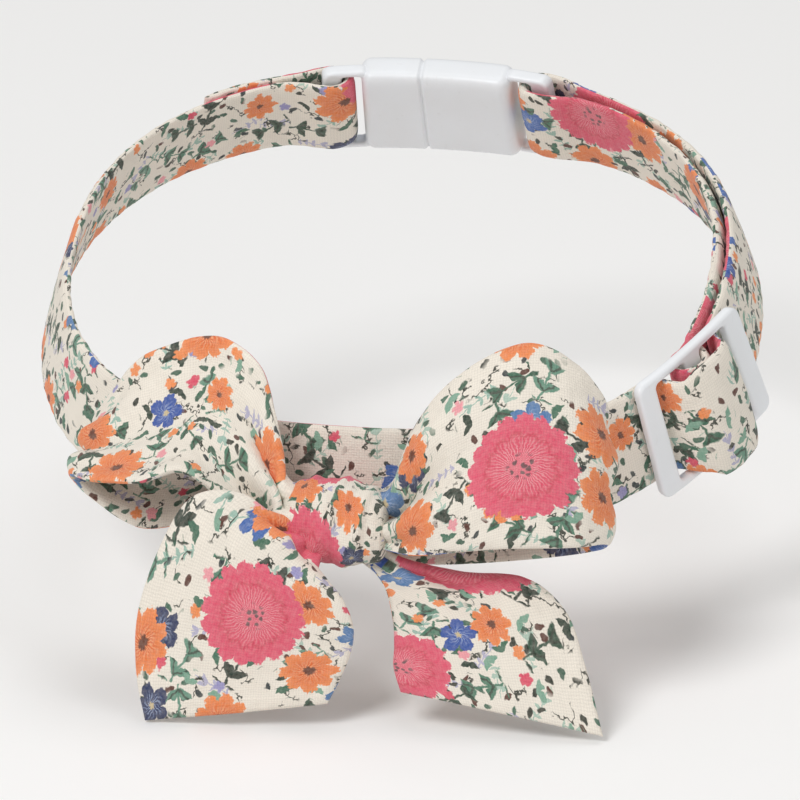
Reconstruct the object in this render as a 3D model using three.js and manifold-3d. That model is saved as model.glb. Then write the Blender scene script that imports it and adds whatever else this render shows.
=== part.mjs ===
// A small dog's collar of printed cotton: a strap closed at the nape by a buckle, a slider that
// sets its length, and a tied ribbon bow sewn to its front.
// Millimetres. +Z runs up the neck, -Y is the throat side with the bow, +X is the slider's side.
// The origin is the middle of the neck opening, level with the strap's middle at the throat.
import * as THREE from "three";
import { mergeVertices } from "three/addons/utils/BufferGeometryUtils.js";
import Module from "manifold-3d";

const wasm = await Module();
wasm.setup();

// ---- Driving dimensions ----
const GAP = 0.35; // clearance between pieces that touch on the real collar
const NECK = { halfX: 39.35, halfY: 37.35, square: 2.3, lean: 16, points: 72 };
// Behind the throat the collar bends up, then climbs steadily to the nape.
const CLIMB = { from: 2, over: 9, angle: 16 };
const BEND = {
  start: CLIMB.from - NECK.halfY,
  end: CLIMB.from - NECK.halfY + CLIMB.over,
  radius: CLIMB.over / THREE.MathUtils.degToRad(CLIMB.angle),
  longestEdge: 4, // of a flat face that has to follow the bend
};
// The strap is webbing in a cotton sleeve. Its far end is sewn back on itself at the buckle.
const STRAP = { width: 12, thick: 1.3, layerGap: 0.3, sewnBack: 16, rowEvery: 6, stepsPerRow: 3 };
const FRAME = { inner: STRAP.width / 2 + GAP, outer: STRAP.width / 2 + GAP + 1 }; // side rails
const BAR = { corner: 0.5, railInset: 0.4, railThinner: 0.2 }; // common to both plastic fittings
// `clear` is how far from its middle or bar each fitting leaves the strap its plain course.
const SLIDER = {
  along: 45.6, barHalf: 1.45, pitch: 8.1, thick: 1.2, clear: 12,
  out: 1.95, rise: 0.98, flatten: 0.65, // from the strap: its middle bar, its tilt, its flatness
};
const BUCKLE = {
  bodyHalf: 9.3, outward: 3.2, inward: -2, barReach: 13, barHalf: 1.2, barThick: 2, rail: 5, clear: 10,
};
const RIBBON = { thick: 1.2, across: 12, stepsPerRow: 4, pleats: 1.5 };
const BOW = { y: -44.5, z: -1.6, lean: 22 }; // middle of the knot; the bow's plane leans back
const KNOT = { steps: 16, around: 32, squareness: 0.8, fold: 0.25, foldTurn: 1.1, foldSlant: 0.6 };

const DOUBLED = STRAP.thick + STRAP.layerGap; // offset of the outer layer where the strap is double

const printedCotton = new THREE.MeshStandardMaterial({ color: 0xede4cd, roughness: 0.9, metalness: 0 });
const whitePlastic = new THREE.MeshStandardMaterial({ color: 0xf3f5f8, roughness: 0.35, metalness: 0 });

// ---- Round the neck ----

// The middle of the strap seen down the neck: an oval a little squarer than an ellipse, from the
// throat round by the slider's side. NECK.lean is in degrees.
const signedPower = (value, power) => Math.sign(value) * Math.abs(value) ** power;
const neckLine = new THREE.CatmullRomCurve3(
  Array.from({ length: NECK.points }, (_, i) => {
    const angle = 2 * Math.PI * i / NECK.points;
    return new THREE.Vector3(
      NECK.halfX * signedPower(Math.sin(angle), 2 / NECK.square),
      -NECK.halfY * signedPower(Math.cos(angle), 2 / NECK.square),
      0,
    );
  }),
  true,
);
neckLine.arcLengthDivisions = 20 * NECK.points;
const HALF_ROUND = neckLine.getLength() / 2; // from the throat to the nape along the strap

// The outward direction from the neck at a place seen down the neck.
function outwardAt(x, y) {
  return new THREE.Vector2(
    signedPower(x / NECK.halfX, NECK.square - 1) / NECK.halfX,
    signedPower(y / NECK.halfY, NECK.square - 1) / NECK.halfY,
  ).normalize();
}

// The place `along` millimetres from the throat, `out` millimetres outside the strap's middle.
function onNeck(along, out) {
  const { x, y } = neckLine.getPointAt(THREE.MathUtils.euclideanModulo(along / HALF_ROUND / 2, 1));
  return new THREE.Vector2(x, y).addScaledVector(outwardAt(x, y), out);
}

// Cuts each long edge of the flat faces at its middle where they cross the bend.
function withShortEdges(geometry) {
  const { position } = geometry.attributes;
  const points = Array.from({ length: position.count }, (_, i) => (
    new THREE.Vector3().fromBufferAttribute(position, i)));
  let index = Array.from(geometry.index.array);
  let middles;
  const middleOf = (a, b) => {
    const [p, q] = [points[a], points[b]];
    const crosses = Math.max(p.y, q.y) > BEND.start && Math.min(p.y, q.y) < BEND.end;
    if (p.z !== q.z || !crosses || p.distanceTo(q) < BEND.longestEdge) {
      return undefined;
    }
    const edge = [Math.min(a, b), Math.max(a, b)].join();
    if (!middles.has(edge)) {
      middles.set(edge, points.push(p.clone().lerp(q, 0.5)) - 1);
    }
    return middles.get(edge);
  };
  do {
    middles = new Map();
    const shorter = [];
    for (let i = 0; i < index.length; i += 3) {
      const [a, b, c] = index.slice(i, i + 3);
      const cuts = [middleOf(a, b), middleOf(b, c), middleOf(c, a)];
      const ring = [a, cuts[0], b, cuts[1], c, cuts[2]].filter((point) => point !== undefined);
      const first = Math.max(0, ring.indexOf(cuts.find((cut) => cut !== undefined)));
      const fan = [...ring.slice(first), ...ring.slice(0, first)];
      for (let k = 1; k < fan.length - 1; k += 1) {
        shorter.push(fan[0], fan[k], fan[k + 1]);
      }
    }
    index = shorter;
  } while (middles.size > 0);
  return new THREE.BufferGeometry().setFromPoints(points).setIndex(index);
}

// The neck narrows upwards, so all that goes round it leans in at the top, and the whole collar
// climbs from the throat to the nape.
function fitToNeck(geometry) {
  const lean = THREE.MathUtils.degToRad(NECK.lean);
  const position = geometry.attributes.position;
  for (let i = 0; i < position.count; i += 1) {
    const [x, y, height] = [position.getX(i), position.getY(i), position.getZ(i)];
    const outward = outwardAt(x, y);
    const inwards = height * Math.sin(lean);
    const turn = (THREE.MathUtils.clamp(y, BEND.start, BEND.end) - BEND.start) / BEND.radius;
    const straight = y - BEND.start - turn * BEND.radius;
    const back = straight - outward.y * inwards;
    const above = height * Math.cos(lean) - BEND.radius;
    position.setXYZ(
      i,
      x - outward.x * inwards,
      BEND.start + back * Math.cos(turn) - above * Math.sin(turn),
      BEND.radius + back * Math.sin(turn) + above * Math.cos(turn),
    );
  }
  return geometry;
}

// ---- Solids from outlines seen down the neck ----

function toSolid(geometry) {
  geometry.deleteAttribute("normal");
  geometry.deleteAttribute("uv");
  const merged = mergeVertices(geometry, 1e-4);
  const vertProperties = Float32Array.from(merged.attributes.position.array);
  const triVerts = Uint32Array.from(merged.index.array);
  return new wasm.Manifold(new wasm.Mesh({ numProp: 3, vertProperties, triVerts }));
}

function toGeometry(solid) {
  const { vertProperties, triVerts } = solid.getMesh();
  const geometry = new THREE.BufferGeometry();
  geometry.setAttribute("position", new THREE.BufferAttribute(vertProperties, 3));
  geometry.setIndex(new THREE.BufferAttribute(triVerts, 1));
  return geometry;
}

function slab(outline, low, high, hole) {
  const shape = new THREE.Shape(outline);
  if (hole) {
    shape.holes.push(new THREE.Path(hole));
  }
  const geometry = new THREE.ExtrudeGeometry(shape, { depth: high - low, bevelEnabled: false });
  geometry.translate(0, 0, low);
  return toSolid(geometry);
}

function joined(solids) {
  return solids.reduce((whole, next) => whole.add(next));
}

// A rounded bar seen end on, by its middle and half sizes along and out from the neck. `slope` is
// how much further out it stands for each millimetre along.
function barOutline(along, out, halfAlong, halfOut, corner, slope = 0) {
  const outline = [];
  for (const [signAlong, signOut, from] of [[1, 1, 0], [-1, 1, 90], [-1, -1, 180], [1, -1, 270]]) {
    for (let turn = 0; turn <= 90; turn += 22.5) {
      const angle = THREE.MathUtils.degToRad(from + turn);
      const on = signAlong * (halfAlong - corner) + corner * Math.cos(angle);
      const up = signOut * (halfOut - corner) + corner * Math.sin(angle);
      outline.push(onNeck(along + on, out + up + slope * on));
    }
  }
  return outline;
}

// One layer of strap: a smooth line through rows of [along, out], given its thickness.
function layerOutline(rows, thick) {
  const line = new THREE.CatmullRomCurve3(rows.map(([along, out]) => {
    const { x, y } = onNeck(along, out);
    return new THREE.Vector3(x, y, 0);
  }));
  const steps = STRAP.stepsPerRow * (rows.length - 1);
  const near = [];
  const far = [];
  for (let i = 0; i <= steps; i += 1) {
    const { x, y } = line.getPoint(i / steps);
    const run = line.getTangent(i / steps);
    near.push(new THREE.Vector2(x + run.y * thick / 2, y - run.x * thick / 2));
    far.push(new THREE.Vector2(x - run.y * thick / 2, y + run.x * thick / 2));
  }
  return [...near, ...far.reverse()];
}

// Rows of [along, out] every few millimetres on a plain stretch of strap.
function plainStretch(from, to, out) {
  const count = Math.round(Math.abs(to - from) / STRAP.rowEvery);
  return Array.from({ length: count + 1 }, (_, i) => [from + (to - from) * i / count, out]);
}

// ---- Strap ----

// Where the strap rises through the slider, over its middle bar and down again.
const OVER_SLIDER = [
  // [along, out] from the slider's middle
  [-8.1, 0], [-6.6, 0], [-5.6, 0.45], [-5, 1.4], [-4.7, 2.6], [-4.1, 3.8], [-2.9, 4.75],
  [-1.2, 5.15], [0.3, 5.3], [1.8, 5.3], [3.1, 4.9], [4.1, 4.1], [4.8, 3.1], [5.4, 2.2],
  [6.2, 1.7], [8.1, DOUBLED],
];

// Where it turns round the buckle's bar and comes back.
const ROUND_BUCKLE_BAR = [
  // [along, out] from the bar's middle
  [-5, 1.2], [-2.2, 1.9], [0, 2.1], [1.75, 1.6], [2.4, 0],
  [1.75, -1.6], [0, -2.1], [-2.2, -1.9], [-5, -1.1],
];

// Where the returning end meets its own turn round the slider's middle bar.
const INTO_SLIDER = [
  // [along, out] from the slider's middle
  [8, 0], [6, 0.05], [4, 0.2], [2.6, 0.4], [1, 0.45],
];

// A slider bar, or the strap's turn round it, `by` larger: -1 the first, 0 the middle, 1 the last.
function sliderBar(which, by = 0) {
  return barOutline(
    SLIDER.along + which * SLIDER.pitch,
    sliderOut(which),
    SLIDER.barHalf + by,
    SLIDER.thick / 2 + by,
    BAR.corner + by,
    (SLIDER.rise + 2 * which * SLIDER.flatten) / SLIDER.pitch,
  );
}

// How far out the slider stands at a part of the way from its middle bar to its last.
function sliderOut(part) {
  return SLIDER.out + part * SLIDER.rise + part ** 2 * SLIDER.flatten;
}

function neckStrap() {
  const leftBar = -(HALF_ROUND - BUCKLE.barReach);
  const rightBar = HALF_ROUND - BUCKLE.barReach;
  const half = STRAP.width / 2;
  const start = leftBar + BUCKLE.barHalf + GAP + STRAP.thick / 2; // within the turn's own wall
  const sewnBack = plainStretch(start, leftBar + STRAP.sewnBack, STRAP.thick / 2);
  const rows = [
    ...plainStretch(start, SLIDER.along - SLIDER.clear, 0),
    ...OVER_SLIDER.map(([along, out]) => [SLIDER.along + along, out]),
    ...plainStretch(SLIDER.along + SLIDER.clear, rightBar - BUCKLE.clear, DOUBLED),
    ...ROUND_BUCKLE_BAR.map(([along, out]) => [rightBar + along, DOUBLED / 2 + out]),
    ...plainStretch(rightBar - BUCKLE.clear, SLIDER.along + SLIDER.clear, 0),
    ...INTO_SLIDER.map(([along, out]) => [SLIDER.along + along, out]),
  ];
  const buckleBar = (by) => barOutline(
    leftBar, 0, BUCKLE.barHalf + by, BUCKLE.barThick / 2 + by, BAR.corner + by);
  const turnRound = (bar) => slab(bar(GAP + STRAP.thick), -half, half, bar(GAP).reverse());
  return fitToNeck(withShortEdges(toGeometry(joined([
    slab(layerOutline(rows, STRAP.thick), -half, half),
    slab(layerOutline(sewnBack, 2 * STRAP.thick), -half, half),
    turnRound(buckleBar),
    turnRound((by) => sliderBar(0, by)),
  ]))));
}

// ---- Plastic fittings ----

// Three bars between two side rails; it sits a little tilted, its outer end further from the neck.
function slider() {
  const end = SLIDER.pitch + SLIDER.barHalf - BAR.railInset;
  const rail = layerOutline(
    [-end, -SLIDER.pitch / 2, 0, SLIDER.pitch / 2, end].map((along) => [
      SLIDER.along + along,
      sliderOut(along / SLIDER.pitch),
    ]),
    SLIDER.thick - BAR.railThinner,
  );
  return fitToNeck(toGeometry(joined([
    ...[-1, 0, 1].map((which) => slab(sliderBar(which), -FRAME.outer, FRAME.outer)),
    slab(rail, FRAME.inner, FRAME.outer),
    slab(rail, -FRAME.outer, -FRAME.inner),
  ])));
}

// The clasp at the nape, closed: a plain curved body with a bar for the strap at each end.
function buckle() {
  const middle = (BUCKLE.outward + BUCKLE.inward) / 2;
  const body = layerOutline(
    [-1, -0.5, 0, 0.5, 1].map((part) => [HALF_ROUND + part * BUCKLE.bodyHalf, middle]),
    BUCKLE.outward - BUCKLE.inward,
  );
  const solids = [slab(body, -FRAME.outer, FRAME.outer)];
  for (const [side, out] of [[1, 0], [-1, DOUBLED / 2]]) {
    const bar = HALF_ROUND + side * BUCKLE.barReach;
    const outline = barOutline(bar, out, BUCKLE.barHalf, BUCKLE.barThick / 2, BAR.corner);
    const rail = layerOutline(
      [0, 0.5, 1].map((part) => [bar - side * part * BUCKLE.rail, out]),
      BUCKLE.barThick - BAR.railThinner,
    );
    solids.push(slab(outline, -FRAME.outer, FRAME.outer));
    solids.push(slab(rail, FRAME.inner, FRAME.outer));
    solids.push(slab(rail, -FRAME.outer, -FRAME.inner));
  }
  return fitToNeck(toGeometry(joined(solids)));
}

// ---- Bow ----
// Its own frame: x across, y up in the bow's plane, z out from the neck, from the knot's middle.

// A ribbon wall through sections, each a row of its two edges, how far its middle bulges to the
// loop's outside, and how deeply it is pleated.
function ribbonWall(rows) {
  const steps = RIBBON.stepsPerRow * (rows.length - 1);
  const through = (pick) => new THREE.CatmullRomCurve3(rows.map(pick), false, "catmullrom", 0.5);
  const edgeA = through(([x, y, z]) => new THREE.Vector3(x, y, z));
  const edgeB = through(([, , , x, y, z]) => new THREE.Vector3(x, y, z));
  const shape = through(([, , , , , , bulge, pleat]) => new THREE.Vector3(bulge, pleat, 0));
  const middleAt = (t) => edgeA.getPoint(t).add(edgeB.getPoint(t)).multiplyScalar(0.5);
  const sheet = [];
  for (let i = 0; i <= steps; i += 1) {
    const t = i / steps;
    const a = edgeA.getPoint(t);
    const b = edgeB.getPoint(t);
    const [bulge, pleat] = shape.getPoint(t).toArray();
    const run = middleAt(Math.min(1, t + 0.01)).sub(middleAt(Math.max(0, t - 0.01)));
    const outside = run.cross(a.clone().sub(b)).normalize();
    const section = [];
    for (let j = 0; j <= RIBBON.across; j += 1) {
      const v = j / RIBBON.across;
      const lift = bulge * 4 * v * (1 - v) + pleat * Math.sin(2 * Math.PI * RIBBON.pleats * v);
      section.push(b.clone().lerp(a, v).addScaledVector(outside, lift));
    }
    sheet.push(section);
  }
  return thickened(sheet, RIBBON.thick);
}

// A closed wall from a grid of points on its middle surface.
function thickened(sheet, thick) {
  const rowCount = sheet.length;
  const columnCount = sheet[0].length;
  const pick = (i, j) => sheet[THREE.MathUtils.clamp(i, 0, rowCount - 1)][
    THREE.MathUtils.clamp(j, 0, columnCount - 1)];
  const positions = [];
  for (const side of [0.5, -0.5]) {
    for (let i = 0; i < rowCount; i += 1) {
      for (let j = 0; j < columnCount; j += 1) {
        const run = pick(i + 1, j).clone().sub(pick(i - 1, j));
        const across = pick(i, j + 1).clone().sub(pick(i, j - 1));
        const normal = run.cross(across).normalize();
        positions.push(...pick(i, j).clone().addScaledVector(normal, side * thick).toArray());
      }
    }
  }
  const index = [];
  const outer = (i, j) => i * columnCount + j;
  const inner = (i, j) => rowCount * columnCount + outer(i, j);
  const quad = (a, b, c, d) => index.push(a, b, c, a, c, d);
  for (let i = 0; i < rowCount - 1; i += 1) {
    for (let j = 0; j < columnCount - 1; j += 1) {
      quad(outer(i, j), outer(i + 1, j), outer(i + 1, j + 1), outer(i, j + 1));
      quad(inner(i, j), inner(i, j + 1), inner(i + 1, j + 1), inner(i + 1, j));
    }
    quad(outer(i, 0), inner(i, 0), inner(i + 1, 0), outer(i + 1, 0));
    quad(outer(i, columnCount - 1), outer(i + 1, columnCount - 1),
      inner(i + 1, columnCount - 1), inner(i, columnCount - 1));
  }
  for (let j = 0; j < columnCount - 1; j += 1) {
    quad(outer(0, j), outer(0, j + 1), inner(0, j + 1), inner(0, j));
    quad(outer(rowCount - 1, j), inner(rowCount - 1, j),
      inner(rowCount - 1, j + 1), outer(rowCount - 1, j + 1));
  }
  const geometry = new THREE.BufferGeometry();
  geometry.setAttribute("position", new THREE.Float32BufferAttribute(positions, 3));
  geometry.setIndex(index);
  return geometry;
}

// Each row is one section: upper edge x y z, lower edge x y z, bulge, pleat depth. The rows run
// from the knot out along the front, round the loop's end and back behind.
const LOOP_RIGHT = [
  [6.9, 4.4, 2.4, 7.0, -3.6, 2.8, 0.4, 0.35],
  [9.1, 10.6, 3.4, 10.5, -3.9, 4.6, 1.0, 0.5],
  [13.9, 16.7, 4.1, 15.5, -3.2, 6.0, 1.6, 0.5],
  [21.2, 20.8, 3.6, 21.6, -2.5, 6.4, 1.6, 0.2],
  [26.6, 19.0, 1.4, 28.2, -2.0, 4.6, 1.8, 0.0],
  [29.7, 15.0, -1.6, 31.4, -1.4, 0.8, 1.2, 0.0],
  [28.3, 13.8, -4.4, 30.2, -2.2, -2.6, 1.0, 0.0],
  [22.2, 14.6, -6.0, 24.2, -3.4, -5.0, 0.6, 0.1],
  [14.3, 12.8, -4.5, 15.4, -4.6, -4.6, 0.2, 0.2],
  [9.2, 7.0, -3.8, 9.6, -4.9, -3.8, 0.2, 0.3],
  [6.9, 3.2, -2.8, 7.0, -4.2, -2.8, 0.2, 0.3],
];

const LOOP_LEFT = [
  [-5.95, 4.8, 1.7, -6.8, -3.6, 1.6, 0.4, 0.3],
  [-7.3, 10.8, 0.9, -8.9, -2.0, 3.8, 1.2, 0.4],
  [-9.7, 16.6, -0.2, -12.4, 1.2, 5.2, 2.4, 0.4],
  [-15.2, 19.6, -1.8, -16.8, 4.0, 6.6, 3.4, 0.2],
  [-23.0, 17.3, -3.8, -21.9, 2.6, 6.6, 3.0, 0.0],
  [-27.0, 13.2, -6.0, -27.2, 2.4, 4.6, 2.0, 0.0],
  [-29.6, 9.2, -8.6, -30.6, 2.8, 1.0, 1.0, 0.0],
  [-28.0, 9.0, -10.6, -29.0, 0.6, -2.2, 0.6, 0.0],
  [-22.0, 11.5, -7.8, -23.0, -2.8, -3.2, 0.4, 0.0],
  [-14.5, 10.8, -4.8, -16.5, -2.0, -3.6, 0.2, 0.1],
  [-9.6, 6.6, -3.9, -10.2, -3.2, -3.6, 0.2, 0.25],
  [-6.5, 3.2, -2.6, -6.8, -4.2, -2.6, 0.2, 0.3],
];

// Tails: right edge x y z, left edge x y z, bulge to the front, pleat depth. The rows run from
// the knot down to the cut end.
const TAIL_LEFT = [
  [-0.8, -6.7, 4.1, -7.4, 0.4, 6.1, 0.1, 0.1],
  [0.8, -8.5, 4.9, -11.2, 2.2, 7.5, 0.6, 0.1],
  [2.7, -10.2, 5.4, -15.6, 0.8, 8.4, 1.0, 0.1],
  [3.8, -12.6, 5.4, -19.0, -5.6, 7.4, 1.3, 0.1],
  [3.6, -15.2, 4.6, -21.0, -12.6, 6.0, 1.2, 0.0],
  [2.5, -18.2, 3.8, -21.0, -19.2, 4.6, 1.0, 0.0],
  [1.0, -21.4, 3.2, -19.8, -24.6, 3.8, 0.8, 0.0],
];

const TAIL_RIGHT = [
  [9.2, -4.9, -1.1, 5.0, -5.9, 0.4, 0.1, 0.0],
  [16.0, -5.9, -1.2, 6.6, -8.2, 0.5, 0.5, 0.1],
  [22.6, -6.0, -1.0, 7.6, -11.4, 1.0, 1.0, 0.2],
  [27.3, -9.4, 0.0, 8.0, -14.2, 1.6, 1.3, 0.1],
  [30.1, -15.6, 1.2, 8.2, -16.9, 2.2, 1.1, 0.0],
  [32.6, -23.2, 2.0, 9.2, -19.6, 2.6, 0.8, 0.0],
];

// The knot: each row is one section across the bow: x, middle y, half height, front z, back z.
const KNOT_SECTIONS = [
  [-6.0, -0.4, 2.4, 2.2, -2.8],
  [-5.2, -0.4, 3.9, 3.9, -4.4],
  [-2.5, -0.6, 4.9, 5.1, -5.3],
  [1.0, -0.7, 5.2, 5.3, -5.4],
  [4.2, -0.9, 4.7, 4.8, -5.1],
  [5.8, -1.0, 3.6, 3.8, -4.2],
  [6.4, -1.0, 2.4, 2.4, -2.8],
];

// A lump of wrapped ribbon whose folds run slantwise over its front.
function knotGeometry() {
  const line = new THREE.CatmullRomCurve3(KNOT_SECTIONS.map(([x, y, half]) => (
    new THREE.Vector3(x, y, half))));
  const depth = new THREE.CatmullRomCurve3(KNOT_SECTIONS.map(([x, , , front, back]) => (
    new THREE.Vector3(x, front, back))));
  const positions = [];
  for (let i = 0; i <= KNOT.steps; i += 1) {
    const { x, y, z: half } = line.getPoint(i / KNOT.steps);
    const { y: front, z: back } = depth.getPoint(i / KNOT.steps);
    for (let j = 0; j < KNOT.around; j += 1) {
      const angle = 2 * Math.PI * j / KNOT.around;
      const flat = (value) => Math.sign(value) * Math.abs(value) ** KNOT.squareness;
      const up = flat(Math.sin(angle));
      const out = flat(Math.cos(angle));
      const slant = KNOT.foldTurn * (y + half * up) + KNOT.foldSlant * x;
      const fold = KNOT.fold * Math.max(0, out) * Math.sin(slant);
      positions.push(x, y + half * up, out * (out > 0 ? front : -back) + fold);
    }
  }
  const index = [];
  for (let i = 0; i < KNOT.steps; i += 1) {
    for (let j = 0; j < KNOT.around; j += 1) {
      const next = (j + 1) % KNOT.around;
      const [a, b] = [i * KNOT.around + j, i * KNOT.around + next];
      const [c, d] = [a + KNOT.around, b + KNOT.around];
      index.push(a, d, b, a, c, d);
    }
  }
  for (const [row, flip] of [[0, false], [KNOT.steps, true]]) {
    for (let j = 1; j < KNOT.around - 1; j += 1) {
      const start = row * KNOT.around;
      index.push(start, ...(flip ? [start + j + 1, start + j] : [start + j, start + j + 1]));
    }
  }
  const geometry = new THREE.BufferGeometry();
  geometry.setAttribute("position", new THREE.Float32BufferAttribute(positions, 3));
  geometry.setIndex(index);
  return geometry;
}

// ---- Assembly ----

function named(name, geometry, material) {
  const mesh = new THREE.Mesh(geometry, material);
  mesh.name = name;
  return mesh;
}

function bow() {
  const group = new THREE.Group();
  group.position.set(0, BOW.y, BOW.z);
  group.rotation.x = THREE.MathUtils.degToRad(90 - BOW.lean);
  group.add(
    named("knot", knotGeometry(), printedCotton),
    named("bow_loop_left", ribbonWall(LOOP_LEFT), printedCotton),
    named("bow_loop_right", ribbonWall(LOOP_RIGHT), printedCotton),
    named("tail_left", ribbonWall(TAIL_LEFT), printedCotton),
    named("tail_right", ribbonWall(TAIL_RIGHT), printedCotton),
  );
  return group;
}

const collar = new THREE.Group();
collar.add(
  named("neck_strap", neckStrap(), printedCotton),
  named("slider", slider(), whitePlastic),
  named("buckle", buckle(), whitePlastic),
  bow(),
);

export default collar;
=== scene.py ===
"""A small dog's collar of printed cotton, with a tied ribbon bow, a slider and a buckle.

The strap is webbing in a cotton sleeve, swept along its whole course: round the buckle's first
bar, along the neck, over and through the slider, round the buckle's second bar and back to the
slider. The bow's loops and tails are doubled ribbon, gathered at the knot. Sizes inside this
file are millimetres unless they say otherwise; meshes are made in metres.
"""

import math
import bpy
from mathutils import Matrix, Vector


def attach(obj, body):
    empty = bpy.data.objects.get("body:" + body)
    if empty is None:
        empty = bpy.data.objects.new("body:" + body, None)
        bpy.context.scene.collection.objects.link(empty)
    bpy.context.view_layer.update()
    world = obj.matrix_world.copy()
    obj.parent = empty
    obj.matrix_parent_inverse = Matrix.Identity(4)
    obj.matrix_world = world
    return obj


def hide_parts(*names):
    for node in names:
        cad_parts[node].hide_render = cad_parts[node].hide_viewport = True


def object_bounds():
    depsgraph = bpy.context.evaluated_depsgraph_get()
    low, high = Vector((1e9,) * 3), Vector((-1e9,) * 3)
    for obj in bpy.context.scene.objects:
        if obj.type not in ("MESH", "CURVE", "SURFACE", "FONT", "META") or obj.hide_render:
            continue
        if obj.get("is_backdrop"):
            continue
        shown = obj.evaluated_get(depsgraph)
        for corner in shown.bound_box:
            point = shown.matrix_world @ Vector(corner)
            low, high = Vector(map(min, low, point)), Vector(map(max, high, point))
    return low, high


bl_info = {
    "name": "Flower Collar",
    "version": (1, 0, 0),
    "blender": (4, 5, 0),
    "location": "View3D > Sidebar > Collar",
    "description": "Builds a printed cotton collar with a ribbon bow for a small dog",
    "category": "Add Mesh",
}

import bmesh
import bpy
import numpy as np
from bpy.props import FloatProperty, FloatVectorProperty, PointerProperty
from mathutils import Vector

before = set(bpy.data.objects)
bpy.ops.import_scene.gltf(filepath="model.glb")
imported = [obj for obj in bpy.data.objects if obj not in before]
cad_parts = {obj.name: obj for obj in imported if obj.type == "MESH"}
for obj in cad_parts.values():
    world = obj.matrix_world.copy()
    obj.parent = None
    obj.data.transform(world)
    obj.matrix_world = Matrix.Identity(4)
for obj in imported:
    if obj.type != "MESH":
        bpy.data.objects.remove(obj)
CAD_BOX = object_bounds()

MM = 0.001
PRINT_MAP = "cloth"  # the UV map that holds each point's place on the flat cloth, in millimetres


# ---- Sizes and colours a user would change ----


def metres(name, description, default):
    return FloatProperty(name=name, description=description, default=default, unit="LENGTH")


def swatch(name, description, default):
    return FloatVectorProperty(
        name=name, description=description, default=default, subtype="COLOR"
    )


class CollarSizes(bpy.types.PropertyGroup):
    """Sizes of the cloth, in metres."""

    strap_width: metres("Strap width", "Width of the strap", 0.012)
    strap_thickness: metres("Strap thickness", "Webbing in its sleeve", 0.0012)
    ribbon_width: metres("Ribbon width", "Width of the bow's ribbon before it is gathered", 0.022)
    ribbon_thickness: metres("Ribbon thickness", "Thickness of the doubled ribbon", 0.001)
    gather: metres("Gathers", "Depth of the folds where the ribbon is drawn in", 0.0022)
    crumple: metres("Crumple", "Height of the soft wrinkles", 0.00014)
    thread: metres("Thread pitch", "Distance from thread to thread in the weave", 0.0003)


class CollarColours(bpy.types.PropertyGroup):
    """Colours of the print, the plastic and the floor."""

    ground: swatch("Ground", "Unprinted cotton", (0.85, 0.785, 0.69))
    bloom: swatch("Large bloom", "Petals", (0.72, 0.072, 0.135))
    bloom_pale: swatch("Bloom streaks", "Inner petals", (0.86, 0.34, 0.38))
    daisy: swatch("Daisy", "Petals", (0.88, 0.275, 0.085))
    blue: swatch("Blue flower", "Petals", (0.025, 0.085, 0.36))
    leaf: swatch("Leaf", "Leaf green", (0.04, 0.14, 0.085))
    mint: swatch("Pale spray", "Pale leaves", (0.42, 0.56, 0.47))
    stem: swatch("Stem", "Stems and seeds", (0.022, 0.03, 0.02))
    plastic: swatch("Plastic", "Slider and buckle", (0.83, 0.85, 0.88))
    floor: swatch("Floor", "Floor under the collar", (0.94, 0.937, 0.932))


# ---- Numbers ----


def signed_power(value, power):
    return np.sign(value) * np.abs(value) ** power


def turns(count, start=0.0):
    """Angles once round."""
    return np.linspace(start, start + 2 * math.pi, count, endpoint=False)


def vectors(*parts):
    """Places or directions from their x, y and so on."""
    return np.stack(np.broadcast_arrays(*parts), -1)


def size_of(vector):
    return np.linalg.norm(vector, axis=-1)


def unit(vector):
    return vector / size_of(vector)[..., None]


def length_along(points):
    """How far along a line each of its points is."""
    return np.concatenate([[0], np.cumsum(size_of(np.diff(points, axis=0)))])


# ---- Round the neck ----

NECK_HALF_X, NECK_HALF_Y, NECK_SQUARE, NECK_LEAN = 39.35, 37.35, 2.3, math.radians(16)


def neck_line():
    """Points round the neck seen from above, from the throat by the slider's side, and how far
    along each of them is."""
    angle = np.linspace(0, 2 * math.pi, 14401)
    x = NECK_HALF_X * signed_power(np.sin(angle), 2 / NECK_SQUARE)
    y = -NECK_HALF_Y * signed_power(np.cos(angle), 2 / NECK_SQUARE)
    return x, y, length_along(vectors(x, y))


NECK_X, NECK_Y, NECK_ALONG = neck_line()
ROUND = NECK_ALONG[-1]
HALF_ROUND = ROUND / 2


def outward_at(x, y):
    """The outward direction from the neck at places seen from above."""
    x = signed_power(x / NECK_HALF_X, NECK_SQUARE - 1) / NECK_HALF_X
    y = signed_power(y / NECK_HALF_Y, NECK_SQUARE - 1) / NECK_HALF_Y
    return unit(vectors(x, y))


def on_neck(along, out):
    """Places `along` from the throat and `out` outside the strap's middle, seen from above."""
    along = np.mod(np.asarray(along, float), ROUND)
    x = np.interp(along, NECK_ALONG, NECK_X)
    y = np.interp(along, NECK_ALONG, NECK_Y)
    return vectors(x, y) + outward_at(x, y) * np.asarray(out, float)[..., None]


# Behind the throat the collar bends up, then climbs steadily to the nape.
CLIMB = math.radians(16)
BEND_START, BEND_END = 2 - NECK_HALF_Y, 11 - NECK_HALF_Y
BEND_RADIUS = (BEND_END - BEND_START) / CLIMB


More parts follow.
